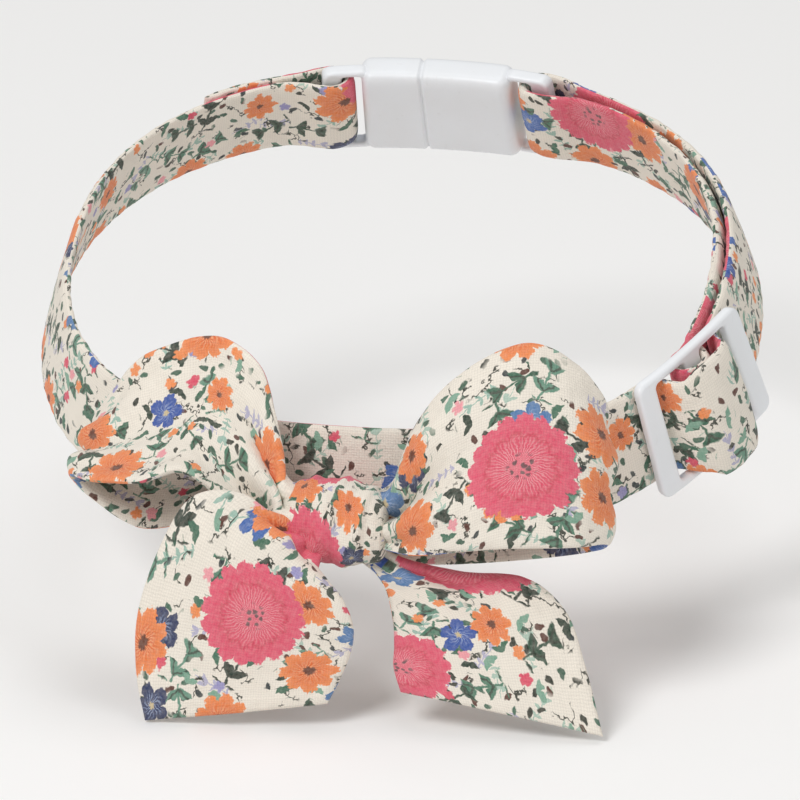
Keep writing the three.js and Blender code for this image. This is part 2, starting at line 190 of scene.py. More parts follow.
def fit_to_neck(seen, height):
    """Places on the collar from where they are seen from above and how high up the strap they
    are. The neck narrows upwards, so what goes round it leans in at the top, and the whole
    collar climbs from the throat to the nape."""
    x, y = seen[..., 0], seen[..., 1]
    outward = outward_at(x, y)
    inwards = height * math.sin(NECK_LEAN)
    turn = (np.clip(y, BEND_START, BEND_END) - BEND_START) / BEND_RADIUS
    straight = y - BEND_START - turn * BEND_RADIUS
    back = straight - outward[..., 1] * inwards
    above = height * math.cos(NECK_LEAN) - BEND_RADIUS
    return vectors(
        x - outward[..., 0] * inwards,
        BEND_START + back * np.cos(turn) - above * np.sin(turn),
        BEND_RADIUS + back * np.sin(turn) + above * np.cos(turn),
    )


# ---- Smooth lines ----


def lengthened(rows):
    """The rows with one more at each end, in line with the two before it."""
    rows = np.array(rows, float)
    return np.vstack([2 * rows[0] - rows[1], rows, 2 * rows[-1] - rows[-2]])


def even_curve(rows, steps):
    """Rows of numbers joined by a smooth curve, at `steps`, which count in rows."""
    ends = lengthened(rows)
    i = np.clip(steps.astype(int), 0, len(rows) - 2)
    s = (steps - i)[:, None]
    p0, p1, p2, p3 = (ends[i + k] for k in range(4))
    bend = 2 * p0 - 5 * p1 + 4 * p2 - p3 + s * (3 * p1 - p0 - 3 * p2 + p3)
    return p1 + 0.5 * s * (p2 - p0 + s * bend)


def spaced_curve(points, step, fine=16):
    """A smooth line through unevenly spaced points, cut into even steps of length."""
    ends = lengthened(points)
    knots = np.sqrt(size_of(np.diff(ends, axis=0)))
    s = np.linspace(0, 1, fine + 1)[:-1, None]
    line = []
    for i in range(1, len(ends) - 2):
        p0, p1, p2, p3 = ends[i - 1 : i + 3]
        d0, d1, d2 = knots[i - 1 : i + 2]
        run1 = ((p1 - p0) / d0 - (p2 - p0) / (d0 + d1) + (p2 - p1) / d1) * d1
        run2 = ((p2 - p1) / d1 - (p3 - p1) / (d1 + d2) + (p3 - p2) / d2) * d1
        bend = 3 * (p2 - p1) - 2 * run1 - run2
        line.append(p1 + run1 * s + bend * s**2 + (2 * (p1 - p2) + run1 + run2) * s**3)
    line = np.vstack([*line, points[-1:]])
    length = length_along(line)
    even = np.linspace(0, length[-1], max(2, round(length[-1] / step) + 1))
    return np.stack([np.interp(even, length, line[:, k]) for k in range(line.shape[1])], -1), even


def bump(value, middle, half):
    """1 at the middle, 0 from `half` away, smooth between."""
    near = np.clip(1 - np.abs(value - middle) / half, 0, 1)
    return near * near * (3 - 2 * near)


def fold(value):
    """0 at whole numbers and 1 half way between, smooth."""
    return 0.5 - 0.5 * np.cos(2 * math.pi * value)


def crumpled(u, v, shift):
    """Soft uneven wrinkles, about -1 to 1, over cloth places u and v."""
    return (
        0.34 * np.sin(0.83 * u + 0.41 * v + 1.7 * shift)
        + 0.28 * np.sin(0.57 * v - 0.39 * u + 0.9 * np.sin(0.31 * u + shift) + 2.3 * shift)
        + 0.22 * np.sin(1.53 * u - 1.12 * v + 1.3 * np.sin(0.47 * v) + 0.6 * shift)
        + 0.16 * np.sin(2.41 * v + 1.91 * u + 3.1 * shift)
    )


# ---- Meshes ----


def add_piece(name, points, faces, places=None):
    """A mesh object from points in millimetres. `places` holds the cloth place of each corner."""
    mesh = bpy.data.meshes.new(name)
    mesh.from_pydata((np.asarray(points) * MM).tolist(), [], [list(map(int, f)) for f in faces])
    if places is not None:
        layer = mesh.uv_layers.new(name=PRINT_MAP)
        layer.data.foreach_set("uv", np.asarray(places, np.float32).ravel())
    if mesh.validate():
        raise RuntimeError(f"{name} has a faulty face")
    mesh.polygons.foreach_set("use_smooth", [True] * len(mesh.polygons))
    piece = bpy.data.objects.new(name, mesh)
    bpy.context.scene.collection.objects.link(piece)
    return piece


def tube(rings, around, flipped=False):
    """The faces of a closed tube with flat ends, and the ring and the place round it of each of
    their corners."""
    i, j = np.meshgrid(np.arange(rings - 1), np.arange(around), indexing="ij")
    ring = np.stack([i, i, i + 1, i + 1], -1).reshape(-1, 4)
    turn = np.stack([j, j + 1, j + 1, j], -1).reshape(-1, 4)
    ends = np.array([np.arange(around)[::-1], np.arange(around)])
    if flipped:
        ring, turn, ends = ring[:, [0, 3, 2, 1]], turn[:, [0, 3, 2, 1]], ends[::-1]
    sides = ring * around + turn % around
    faces = [*sides.tolist(), ends[0].tolist(), ((rings - 1) * around + ends[1]).tolist()]
    ring = np.concatenate([ring.ravel(), np.repeat([0, rings - 1], around)])
    return faces, ring, np.concatenate([turn.ravel(), ends.ravel()])


def joined(parts):
    """The points and faces of several meshes together."""
    points, faces = np.zeros((0, 3)), []
    for more, around in parts:
        faces += [[len(points) + k for k in face] for face in around]
        points = np.vstack([points, more])
    return points, faces


def finished(piece, material, slot, *nodes):
    """The piece gets its material, stands for its CAD nodes and rides with the collar."""
    piece.data.materials.append(material)
    if nodes:
        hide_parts(*nodes)
    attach(piece, "root")
    return piece


# ---- Strap ----

SLIDER_ALONG, SLIDER_PITCH, SLIDER_BAR, SLIDER_THICK = 45.6, 8.1, 1.45, 1.2
SLIDER_OUT, SLIDER_RISE, SLIDER_FLATTEN = 1.95, 0.98, 0.65  # its middle bar, its tilt, its flatness
FRAME_INNER, FRAME_OUTER = 6.35, 7.35  # the fittings' side rails, from the strap's middle
DOUBLED = 1.6  # offset of the outer layer where the strap is double
BAR_REACH = 13  # from the nape to each of the buckle's bars
FIRST_BAR, SECOND_BAR = BAR_REACH - HALF_ROUND, HALF_ROUND - BAR_REACH

# Each row is [along, out]. Sewn back on itself and round the first bar, from that bar.
ROUND_FIRST_BAR = [
    [16, 1.3], [12, 1.3], [8, 1.3], [4, 1.35], [1.5, 1.8], [0, 2.0], [-1.6, 1.4], [-2.2, 0],
    [-1.6, -1.4], [0, -2.0], [1.5, -1.7], [4, -0.6], [7, 0],
]
# Up through the slider, over its middle bar and down again, from the slider's middle.
OVER_SLIDER = [
    [-8.1, 0], [-6.6, 0], [-5.6, 0.45], [-5, 1.4], [-4.7, 2.6], [-4.1, 3.8], [-2.9, 4.75],
    [-1.2, 5.15], [0.3, 5.3], [1.8, 5.3], [3.1, 4.9], [4.1, 4.1], [4.8, 3.1], [5.4, 2.2],
    [6.2, 1.7], [8.1, DOUBLED],
]
# Round the second bar and back, from that bar and the middle of the doubled strap.
ROUND_SECOND_BAR = [
    [-5, 1.2], [-2.2, 1.9], [0, 2.1], [1.75, 1.6], [2.4, 0], [1.75, -1.6], [0, -2.1], [-2.2, -1.9],
    [-5, -1.1],
]
# Under the slider and round its middle bar, where it is sewn to itself, from the slider's middle.
ROUND_MIDDLE_BAR = [
    [8, 0], [6, 0.05], [4, 0.2], [2.6, 0.4], [1, 0.45], [-1.2, 0.4], [-2.45, 1.8], [-1.2, 3.45],
    [1, 3.65], [2.45, 2.2], [3.1, 1.35],
]
ROW_EVERY = 6  # on plain stretches, which stop short of the fittings by:
SLIDER_ROOM, FIRST_BAR_ROOM, SECOND_BAR_ROOM = 12, 12, 10
STRAP_STEP, STRAP_AROUND = 0.5, 44  # mesh steps along the strap and round it
PUFF_OUT, PUFF_REACH, PUFF_SPREAD = 5.1, 1.4, 0.2  # how far out it spreads, and by how much
PUCKER, PUCKER_ZONE = 0.05, 2.2  # height of the edges' puckers, and how far in from them they run
WAVE, CROWN = 0.07, 0.12  # height of the soft waves, and of the middle over the edges
CLOSING = 0.5  # a cut end closes up over this length


def plain_stretch(start, end, out):
    """Rows of [along, out] every few millimetres on a plain stretch of strap."""
    count = round(abs(end - start) / ROW_EVERY)
    return [[start + (end - start) * i / count, out] for i in range(count + 1)]


def strap_rows():
    """The strap's whole course, end to end, as rows of [along, out]."""
    return [
        *([FIRST_BAR + along, out] for along, out in ROUND_FIRST_BAR),
        *plain_stretch(FIRST_BAR + FIRST_BAR_ROOM, SLIDER_ALONG - SLIDER_ROOM, 0),
        *([SLIDER_ALONG + along, out] for along, out in OVER_SLIDER),
        *plain_stretch(SLIDER_ALONG + SLIDER_ROOM, SECOND_BAR - SECOND_BAR_ROOM, DOUBLED),
        *([SECOND_BAR + along, DOUBLED / 2 + out] for along, out in ROUND_SECOND_BAR),
        *plain_stretch(SECOND_BAR - SECOND_BAR_ROOM, SLIDER_ALONG + SLIDER_ROOM, 0),
        *([SLIDER_ALONG + along, out] for along, out in ROUND_MIDDLE_BAR),
    ]


def strap_section(half, thick, count):
    """The outline of the sleeve cut across: [across, out] points with round folded edges."""
    turn = turns(count)
    flat, plump = 2 / 9, 0.72  # a rounded oblong rather than an ellipse
    out = thick / 2 * signed_power(np.sin(turn), plump)
    return half * signed_power(np.cos(turn), flat), out


def make_strap(sizes):
    """The sleeved strap, swept along its whole course, and that course's length."""
    rows = np.array(strap_rows())
    seen = on_neck(rows[:, 0], rows[:, 1])
    line, length = spaced_curve(seen, STRAP_STEP)
    straight = length_along(seen)
    out_at = np.interp(length, straight * length[-1] / straight[-1], rows[:, 1])
    run = unit(np.gradient(line, axis=0))
    side = vectors(run[:, 1], -run[:, 0])
    half, thick = sizes.strap_width / MM / 2, sizes.strap_thickness / MM
    across, out = strap_section(half, thick, STRAP_AROUND)
    edge = length_along(vectors(across, out))
    last_step = math.hypot(across[0] - across[-1], out[0] - out[-1])

    # The cloth spreads where it rides over the slider.
    puff = bump(out_at, PUFF_OUT, PUFF_REACH)[:, None]
    u, v = length[:, None], edge[None, :]
    wide = across[None, :] * (1 + PUFF_SPREAD * puff)
    near_edge = np.clip(1 - (half - np.abs(across)) / PUCKER_ZONE, 0, 1)[None, :]
    face = np.sign(out)[None, :] * np.minimum(1, np.abs(out) / thick * 3)[None, :]
    uneven = 2.6 * u + 1.1 * np.sin(0.7 * u) + 2 * np.sign(across)[None, :]
    pucker = PUCKER * near_edge * np.sin(uneven)
    wave = WAVE * crumpled(u, v, 0.4)
    crown = CROWN * (1 - (across / half) ** 2)[None, :] * (1 + 2.5 * puff)
    high = out[None, :] + face * (pucker + wave + crown)
    open_by = np.minimum(1, np.minimum(u, length[-1] - u) / CLOSING)
    high = high * np.sqrt(np.maximum(1e-4, 1 - (1 - open_by) ** 2))
    flat = line[:, None, :] + side[:, None, :] * high[..., None]
    points = fit_to_neck(flat, wide)

    faces, ring, turn = tube(len(line), STRAP_AROUND)
    round_edge = np.append(edge, edge[-1] + last_step)
    places = vectors(length[ring], round_edge[turn])
    return add_piece("neck_strap_sleeve", points.reshape(-1, 3), faces, places), length[-1]


def stitch(start, end, thick, rings=9, around=8):
    """One sewn stitch: a short thread whose ends dip into the cloth."""
    run = unit(end - start)
    up = unit(np.cross(run, [0, 0, 1.0] if abs(run[2]) < 0.9 else [0, 1.0, 0]))
    over = np.cross(run, up)
    t = np.linspace(0, 1, rings)[:, None, None]
    radius = thick / 2 * np.sqrt(np.maximum(0.02, 1 - (2 * t - 1) ** 6))
    turn = turns(around)[None, :, None]
    points = start + (end - start) * t + radius * (np.cos(turn) * up + np.sin(turn) * over)
    return points.reshape(-1, 3), tube(rings, around)[0]


STITCH_ROWS, STITCH_SPAN = (6.2, 14.2), (-4.9, 4.7)  # along from the first bar, and across
STITCH, STITCH_PITCH, STITCH_THICK, STITCH_ABOVE = 1.25, 1.65, 0.34, 0.12


def make_strap_stitches(sizes):
    """Two rows of stitches hold the sewn-back end by the buckle."""
    surface = ROUND_FIRST_BAR[0][1] + sizes.strap_thickness / MM / 2 + STITCH_ABOVE
    parts = []
    for along in STITCH_ROWS:
        for start in np.arange(*STITCH_SPAN, STITCH_PITCH):
            heights = np.array([start, start + STITCH])
            ends = fit_to_neck(on_neck(FIRST_BAR + along, surface), heights)
            parts.append(stitch(*ends, STITCH_THICK))
    return add_piece("sewn_back_stitches", *joined(parts))


# ---- Bow ----

BOW_Y, BOW_Z, BOW_LEAN = -44.5, -1.6, math.radians(22)


def in_place(points):
    """From the bow's frame, x across, y up in its plane, z out from the neck, to the collar's."""
    x, y, z = points[..., 0], points[..., 1], points[..., 2]
    sin, cos = math.sin(BOW_LEAN), math.cos(BOW_LEAN)
    return vectors(x, BOW_Y + y * sin - z * cos, BOW_Z + y * cos + z * sin)


# Each row is one section of ribbon: first edge x y z, second edge x y z, bulge, pleat depth. The
# loops run from inside the knot out along the front, round the end and back behind.
LOOP_RIGHT = [
    [3.6, 2.4, 1.0, 3.6, -2.6, 1.0, 0.2, 0.2],
    [6.9, 4.4, 2.4, 7.0, -3.6, 2.8, 0.4, 0.35],
    [9.1, 10.6, 3.4, 10.5, -3.9, 4.6, 1.0, 0.5],
    [13.9, 16.7, 4.1, 15.5, -3.2, 6.0, 1.6, 0.5],
    [21.2, 20.8, 3.6, 21.6, -2.5, 6.4, 1.6, 0.2],
    [26.6, 19.0, 1.4, 28.2, -2.0, 4.6, 1.8, 0.0],
    [29.7, 15.0, -1.6, 31.4, -1.4, 0.8, 1.2, 0.0],
    [28.3, 13.8, -4.4, 30.2, -2.2, -2.6, 1.0, 0.0],
    [22.2, 14.6, -6.0, 24.2, -3.4, -5.0, 0.6, 0.1],
    [14.3, 12.8, -4.5, 15.4, -4.6, -4.6, 0.2, 0.2],
    [9.2, 7.0, -3.8, 9.6, -4.9, -3.8, 0.2, 0.3],
    [6.9, 3.2, -2.8, 7.0, -4.2, -2.8, 0.2, 0.3],
    [3.8, 2.0, -2.0, 3.8, -3.0, -2.0, 0.1, 0.2],
]
LOOP_LEFT = [
    [-3.4, 2.4, 1.2, -3.6, -2.4, 1.2, 0.2, 0.2],
    [-5.95, 4.8, 1.7, -6.8, -3.6, 1.6, 0.4, 0.3],
    [-7.3, 10.8, 0.9, -8.9, -2.0, 3.8, 1.2, 0.4],
    [-9.7, 16.6, -0.2, -12.4, 1.2, 5.2, 2.4, 0.4],
    [-15.2, 19.6, -1.8, -16.8, 4.0, 6.6, 3.4, 0.2],
    [-23.0, 17.3, -3.8, -21.9, 2.6, 6.6, 3.0, 0.0],
    [-27.0, 13.2, -6.0, -27.2, 2.4, 4.6, 2.0, 0.0],
    [-29.6, 9.2, -8.6, -30.6, 2.8, 1.0, 1.0, 0.0],
    [-28.0, 9.0, -10.6, -29.0, 0.6, -2.2, 0.6, 0.0],
    [-22.0, 11.5, -7.8, -23.0, -2.8, -3.2, 0.4, 0.0],
    [-14.5, 10.8, -4.8, -16.5, -2.0, -3.6, 0.2, 0.1],
    [-9.6, 6.6, -3.9, -10.2, -3.2, -3.6, 0.2, 0.25],
    [-6.5, 3.2, -2.6, -6.8, -4.2, -2.6, 0.2, 0.3],
    [-3.4, 2.0, -2.0, -3.6, -3.0, -2.0, 0.1, 0.2],
]
# Tails: right edge, then left edge, from inside the knot down to the cut end.
TAIL_LEFT = [
    [-0.6, -4.4, 3.0, -4.6, -0.6, 4.0, 0.1, 0.1],
    [-0.8, -6.7, 4.1, -7.4, 0.4, 6.1, 0.1, 0.1],
    [0.8, -8.5, 4.9, -11.2, 2.2, 7.5, 0.6, 0.1],
    [2.7, -10.2, 5.4, -15.6, 0.8, 8.4, 1.0, 0.1],
    [3.8, -12.6, 5.4, -19.0, -5.6, 7.4, 1.3, 0.1],
    [3.6, -15.2, 4.6, -21.0, -12.6, 6.0, 1.2, 0.0],
    [2.5, -18.2, 3.8, -21.0, -19.2, 4.6, 1.0, 0.0],
    [1.0, -21.4, 3.2, -19.8, -24.6, 3.8, 0.8, 0.0],
]
TAIL_RIGHT = [
    [4.4, -3.0, -1.0, 3.2, -4.6, 0.2, 0.1, 0.0],
    [9.2, -4.9, -1.1, 5.0, -5.9, 0.4, 0.1, 0.0],
    [16.0, -5.9, -1.2, 6.6, -8.2, 0.5, 0.5, 0.1],
    [22.6, -6.0, -1.0, 7.6, -11.4, 1.0, 1.0, 0.2],
    [27.3, -9.4, 0.0, 8.0, -14.2, 1.6, 1.3, 0.1],
    [30.1, -15.6, 1.2, 8.2, -16.9, 2.2, 1.1, 0.0],
    [32.6, -23.2, 2.0, 9.2, -19.6, 2.6, 0.8, 0.0],
]


ROW_STEPS, TAIL_STEPS, RIBBON_ACROSS = 17, 20, 65  # mesh steps
KNOT_EDGE = 2.5  # the ribbon's length inside the knot
BROAD_FOLDS, BROAD_REACH = 2.2, 14  # folds across the ribbon, and how far from the knot they run
FINE_FOLDS, FINE_REACH, FINE_DEPTH = 2.9, 6, 0.45  # the same, and their depth beside the broad's
TAIL_DEPTH = 0.35  # depth of a tail's folds beside a loop's
EDGE_ROUND = 0.62  # how far in the folded edge is round, as a share of the thickness
HEM_IN, HEM_HALF, HEM_SWELL = 1.3, 1.2, 0.22  # where the turned-in edge stands up, and how much
BACK_CLOTH = 11, 31  # from a place on the ribbon's front to the place behind it, on the cloth


def rounded_edge(distance, radius):
    """How much of the full thickness stands at a distance from a folded edge."""
    near = np.clip(distance / radius, 0, 1)
    return np.sqrt(1 - (1 - near) ** 2)


def quads(grid):
    """The four corners of each cell of a grid."""
    return np.stack([grid[:-1, :-1], grid[1:, :-1], grid[1:, 1:], grid[:-1, 1:]], 2)


def make_ribbon(name, rows, sizes, shift, cut_from, both_in_knot):
    """A wall of doubled ribbon through sections, gathered where it goes into the knot. `shift`
    moves its folds, and `cut_from` is the place on the printed cloth."""
    rows = np.array(rows, float)
    spans = len(rows) - 1
    if both_in_knot:
        steps = np.linspace(0, spans, ROW_STEPS * spans + 1)
    else:
        steps = spans * np.sin(np.linspace(0, math.pi / 2, TAIL_STEPS * spans + 1))
    across = ((1 - np.cos(np.linspace(0, math.pi, RIBBON_ACROSS))) / 2)[None, :]
    section = even_curve(rows, steps)
    first, second, bulge, pleat = section[:, :3], section[:, 3:6], section[:, 6], section[:, 7]
    middle = (first + second) / 2
    width = size_of(first - second)
    length = length_along(middle)
    run = np.gradient(middle, axis=0)
    outside = unit(np.cross(run, first - second))

    reach = np.minimum(length, length[-1] - length) if both_in_knot else length
    reach = np.maximum(0, reach - KNOT_EDGE)[:, None]
    # Cloth that is drawn in narrower than the ribbon lies in folds, turned to the loop's inside.
    spread = size_of(np.cross(run, first - second)) / size_of(run)
    spread = spread * (1 + 8 / 3 * (bulge / spread) ** 2)
    slack = np.sqrt(np.clip(sizes.ribbon_width / MM / spread - 1, 0, 1))[:, None]
    fine = np.exp(-reach / FINE_REACH) * fold(FINE_FOLDS * across + 0.17 * shift)
    fading = 0.7 + 0.3 * np.exp(-reach / BROAD_REACH)
    broad = fading * fold(BROAD_FOLDS * across + 0.29 * shift + reach / 70)
    depth = sizes.gather / MM * (1.0 if both_in_knot else TAIL_DEPTH)
    gather = depth * slack * (FINE_DEPTH * fine + broad) * np.sin(math.pi * across) ** 0.5
    away = np.clip(reach / 4, 0, 1)
    u_flat = length[:, None] + 0 * across
    v_flat = (across - 0.5) * width[:, None]
    wrinkle = sizes.crumple / MM * crumpled(u_flat, v_flat, shift) * (0.4 + 0.6 * away)
    shape = bulge[:, None] * 4 * across * (1 - across)
    lift = shape + pleat[:, None] * np.sin(3 * math.pi * across) - gather + wrinkle
    second, wide, outside = second[:, None, :], (first - second)[:, None, :], outside[:, None, :]
    sheet = second + wide * across[..., None] + outside * lift[..., None]
    normal = unit(np.cross(np.gradient(sheet, axis=0), np.gradient(sheet, axis=1)))
    if np.sum(normal * outside) < 0:
        normal = -normal

    edge = np.minimum(across, 1 - across) * width[:, None]
    if not both_in_knot:
        edge = np.minimum(edge, (length[-1] - length)[:, None])
    thick = sizes.ribbon_thickness / MM
    hem = 1 + HEM_SWELL * bump(edge, HEM_IN, HEM_HALF)
    half = thick / 2 * rounded_edge(edge, EDGE_ROUND * thick) * hem
    half[[0, -1]] = half[:, [0, -1]] = 0
    outer = in_place(sheet + normal * half[..., None])
    inner = in_place(sheet - normal * half[..., None])

    n, m = half.shape
    index_out = np.arange(n * m).reshape(n, m)
    index_in = index_out.copy()
    index_in[1:-1, 1:-1] = n * m + np.arange((n - 2) * (m - 2)).reshape(n - 2, m - 2)
    points = np.vstack([outer.reshape(-1, 3), inner[1:-1, 1:-1].reshape(-1, 3)])
    cloth_v = np.cumsum(size_of(np.gradient(sheet, axis=1)), axis=1)
    cloth_v = cloth_v - cloth_v[:, m // 2 : m // 2 + 1]
    place = vectors(u_flat, cloth_v)
    shown = quads(place + cut_from)
    hidden = quads(place * [1, -1] + np.add(cut_from, BACK_CLOTH))
    faces = np.vstack([quads(index_out), quads(index_in)[..., ::-1]]).reshape(-1, 4)
    places = np.vstack([shown, hidden[:, :, ::-1]]).reshape(-1, 4, 2)
    corner = points[faces[0]]
    faces_out = np.cross(corner[1] - corner[0], corner[2] - corner[0])
    if faces_out @ (in_place(normal[0, 0]) - in_place(np.zeros(3))) < 0:
        faces, places = faces[:, ::-1], places[:, ::-1]
    return add_piece(name, points, faces, places.reshape(-1, 2)), length[-1]


# Each row is one section of the knot across the bow: x, middle y, half height, front z, back z.
KNOT_SECTIONS = [
    [-6.0, -0.4, 2.2, 2.0, -2.5],
    [-5.7, -0.4, 3.3, 3.1, -3.7],
    [-5.0, -0.4, 4.1, 4.1, -4.5],
    [-2.5, -0.6, 4.8, 5.0, -5.2],
    [1.0, -0.7, 5.1, 5.2, -5.3],
    [4.2, -0.9, 4.6, 4.7, -5.0],
    [5.7, -1.0, 3.8, 3.9, -4.2],
    [6.2, -1.0, 3.0, 3.0, -3.4],
    [6.4, -1.0, 2.2, 2.0, -2.4],
]
KNOT_ACROSS, KNOT_AROUND = 97, 144  # mesh points
KNOT_SQUARE = 0.8  # the power its outline is drawn with
KNOT_FOLDS, KNOT_FINE_FOLDS, KNOT_CRUMPLE = 0.34, 0.1, 0.1  # heights of its folds and wrinkles
KNOT_CLOSING = 1.2  # they fade out over this length at its ends
KNOT_RADIUS, KNOT_FULLNESS, KNOT_CUT_FROM = 4.9, 1.35, (3.0, 70.0)  # of its cloth, for the print


def make_knot():
    """A lump of wrapped ribbon whose folds run slantwise over its front."""
    rows = even_curve(KNOT_SECTIONS, np.linspace(0, len(KNOT_SECTIONS) - 1, KNOT_ACROSS))
    x, mid, half, front, back = (rows[:, k : k + 1] for k in range(5))
    angle = turns(KNOT_AROUND, -math.pi)[None, :]  # from the back
    y = mid + half * signed_power(np.sin(angle), KNOT_SQUARE)
    out = signed_power(np.cos(angle), KNOT_SQUARE)
    z = np.where(out > 0, out * front, -out * back)
    slant = 2 * math.pi * (0.27 * x - 0.09 * y + 0.05 * np.sin(0.9 * y))
    ridge = 1 - 2 * np.abs(np.sin(slant / 2)) ** 0.8
    fine = np.sin(2.3 * slant + 0.8 * y)
    at_end = np.minimum(1, (KNOT_SECTIONS[-1][0] - np.abs(x)) / KNOT_CLOSING)
    inward = at_end * (0.65 + 0.35 * np.cos(angle))
    crumple = KNOT_CRUMPLE * crumpled(1.6 * x, 1.4 * y, 2.2)
    swell = inward * (KNOT_FOLDS * ridge + KNOT_FINE_FOLDS * fine + crumple)
    away = unit(vectors(0 * x, y - mid, z))
    points = in_place(vectors(x, y, z) + away * swell[..., None])
    faces, ring, turn = tube(KNOT_ACROSS, KNOT_AROUND, flipped=True)
    cloth_round = KNOT_RADIUS * np.linspace(0, 2 * math.pi, KNOT_AROUND + 1)
    cloth_wide = KNOT_FULLNESS * x[:, 0]
    places = vectors(cloth_round[turn], cloth_wide[ring]) + KNOT_CUT_FROM
    return add_piece("bow_knot", points.reshape(-1, 3), faces, places)


# ---- Plastic fittings ----

PLATE_STEP = 0.7  # a bent plate is cut this often


def rounded_outline(half_a, half_b, corner, middle_a=0.0, steps=6):
    """A rounded oblong, counter-clockwise, as [a, b] points."""
    points = []
    for sign_a, sign_b, start in ((1, 1, 0), (-1, 1, 90), (-1, -1, 180), (1, -1, 270)):
        a, b = middle_a + sign_a * (half_a - corner), sign_b * (half_b - corner)
        for k in range(steps + 1):
            turn = math.radians(start + 90 * k / steps)
            points.append([a + corner * math.cos(turn), b + corner * math.sin(turn)])
    return points


def curved_plate(outline, windows, thick, round_by, at, out_at):
    """A moulded plate with rounded edges, cut out along the neck by height and bent round it.
    Returns its points in millimetres and its faces."""
    curve = bpy.data.curves.new("plate outline", "CURVE")
    curve.dimensions, curve.fill_mode = "2D", "BOTH"
    curve.extrude, curve.bevel_depth, curve.bevel_resolution = thick / 2 - round_by, round_by, 3
    curve.offset = -round_by
    for loop in (outline, *windows):
        spline = curve.splines.new("POLY")
        spline.points.add(len(loop) - 1)
        for point, (a, b) in zip(spline.points, loop):
            point.co = (a, b, 0, 1)
        spline.use_cyclic_u = True
    flat = bpy.data.objects.new("plate outline", curve)
    bpy.context.scene.collection.objects.link(flat)
    bpy.context.view_layer.update()
    plate = bmesh.new()
    shown = flat.evaluated_get(bpy.context.evaluated_depsgraph_get())
    plate.from_mesh(bpy.data.meshes.new_from_object(shown))
    bpy.data.objects.remove(flat)
    bmesh.ops.remove_doubles(plate, verts=plate.verts, dist=0.002)
    low, high = min(a for a, _ in outline), max(a for a, _ in outline)
    for cut in np.arange(low + 0.5, high - 0.2, PLATE_STEP):
        whole = [*plate.verts, *plate.edges, *plate.faces]
        bmesh.ops.bisect_plane(
            plate, geom=whole, dist=0.001, plane_co=(cut, 0, 0), plane_no=(1, 0, 0)
        )
    bmesh.ops.recalc_face_normals(plate, faces=plate.faces)
    flat_points = np.array([v.co for v in plate.verts])
    plate.verts.index_update()
    faces = [[v.index for v in face.verts] for face in plate.faces]
    plate.free()
    seen = on_neck(at + flat_points[:, 0], out_at(flat_points[:, 0]) + flat_points[:, 2])
    return fit_to_neck(seen, flat_points[:, 1]), faces


def slider_out(a):
    """How far out the slider's plate is, `a` along from its middle: its far end stands further."""
    return SLIDER_OUT + SLIDER_RISE * a / SLIDER_PITCH + SLIDER_FLATTEN * (a / SLIDER_PITCH) ** 2


def make_slider():
    """Three bars between two side rails."""
    window = (SLIDER_PITCH - 2 * SLIDER_BAR) / 2
    outline = rounded_outline(SLIDER_PITCH + SLIDER_BAR, FRAME_OUTER, corner=1.3)
    windows = [
        rounded_outline(window, FRAME_INNER, corner=0.6, middle_a=side * SLIDER_PITCH / 2)
        for side in (-1, 1)
    ]
    points, faces = curved_plate(
        outline, windows, SLIDER_THICK, round_by=0.4, at=SLIDER_ALONG, out_at=slider_out
    )
    return add_piece("slider_moulding", points, faces)


BODY_HALF, BODY_INSIDE, BODY_OUTSIDE, BODY_CORNER = 9.3, -2.0, 3.2, 1.3
BODY_WIDE_POWER, BODY_TALL_POWER = 0.26, 0.42  # the powers its outline is drawn with
BODY_FALL = 0.25  # how far its outer face falls towards its long edges
BODY_ACROSS, BODY_AROUND = 73, 64  # mesh points
JOINT_AT, JOINT_HALF, JOINT_DEEP = 1.8, 0.42, 0.32
JOINT_ROOM, JOINT_POINTS = 0.6, 13  # finer mesh points on both sides of the joint
BAR_MIDDLE, BAR_HALF, BAR_CORNER, BAR_THICK, BAR_ROUNDING = 11.25, 2.95, 1.1, 2.0, 0.45
SLOT_MIDDLE, SLOT_HALF, SLOT_CORNER = 10.55, 1.25, 0.5


def buckle_body():
    """The clasp's curved body, with the joint between its two halves running round it."""
    a = BODY_HALF * np.sin(np.linspace(-math.pi / 2, math.pi / 2, BODY_ACROSS))
    near_joint = np.linspace(JOINT_AT - JOINT_ROOM, JOINT_AT + JOINT_ROOM, JOINT_POINTS)
    a = np.sort(np.concatenate([a, near_joint]))
    ends = BODY_CORNER * (1 - rounded_edge(BODY_HALF - np.abs(a), BODY_CORNER))
    shrink = (ends + JOINT_DEEP * bump(a, JOINT_AT, JOINT_HALF))[:, None]
    turn = turns(BODY_AROUND)[None, :]
    wide = signed_power(np.cos(turn), BODY_WIDE_POWER)
    tall = signed_power(np.sin(turn), BODY_TALL_POWER)
    z = wide * (FRAME_OUTER - shrink)
    half_thick = (BODY_OUTSIDE - BODY_INSIDE) / 2
    out = (BODY_INSIDE + BODY_OUTSIDE) / 2 + tall * (half_thick - shrink)
    out = out - BODY_FALL * np.clip(tall, 0, 1) * wide**2
    points = fit_to_neck(on_neck(HALF_ROUND + a[:, None], out), z)
    return points.reshape(-1, 3), tube(*z.shape)[0]


def make_buckle():
    """The clasp's body with a bar for the strap at each side."""
    parts = [buckle_body()]
    for side, out in ((1, 0.0), (-1, DOUBLED / 2)):
        outline = rounded_outline(BAR_HALF, FRAME_OUTER, BAR_CORNER, side * BAR_MIDDLE)
        slot = rounded_outline(SLOT_HALF, FRAME_INNER, SLOT_CORNER, side * SLOT_MIDDLE)
        plate = curved_plate(
            outline, [slot], BAR_THICK, BAR_ROUNDING, at=HALF_ROUND, out_at=lambda a: out + 0 * a
        )
        parts.append(plate)
    return add_piece("buckle_moulding", *joined(parts))


# ---- Materials ----


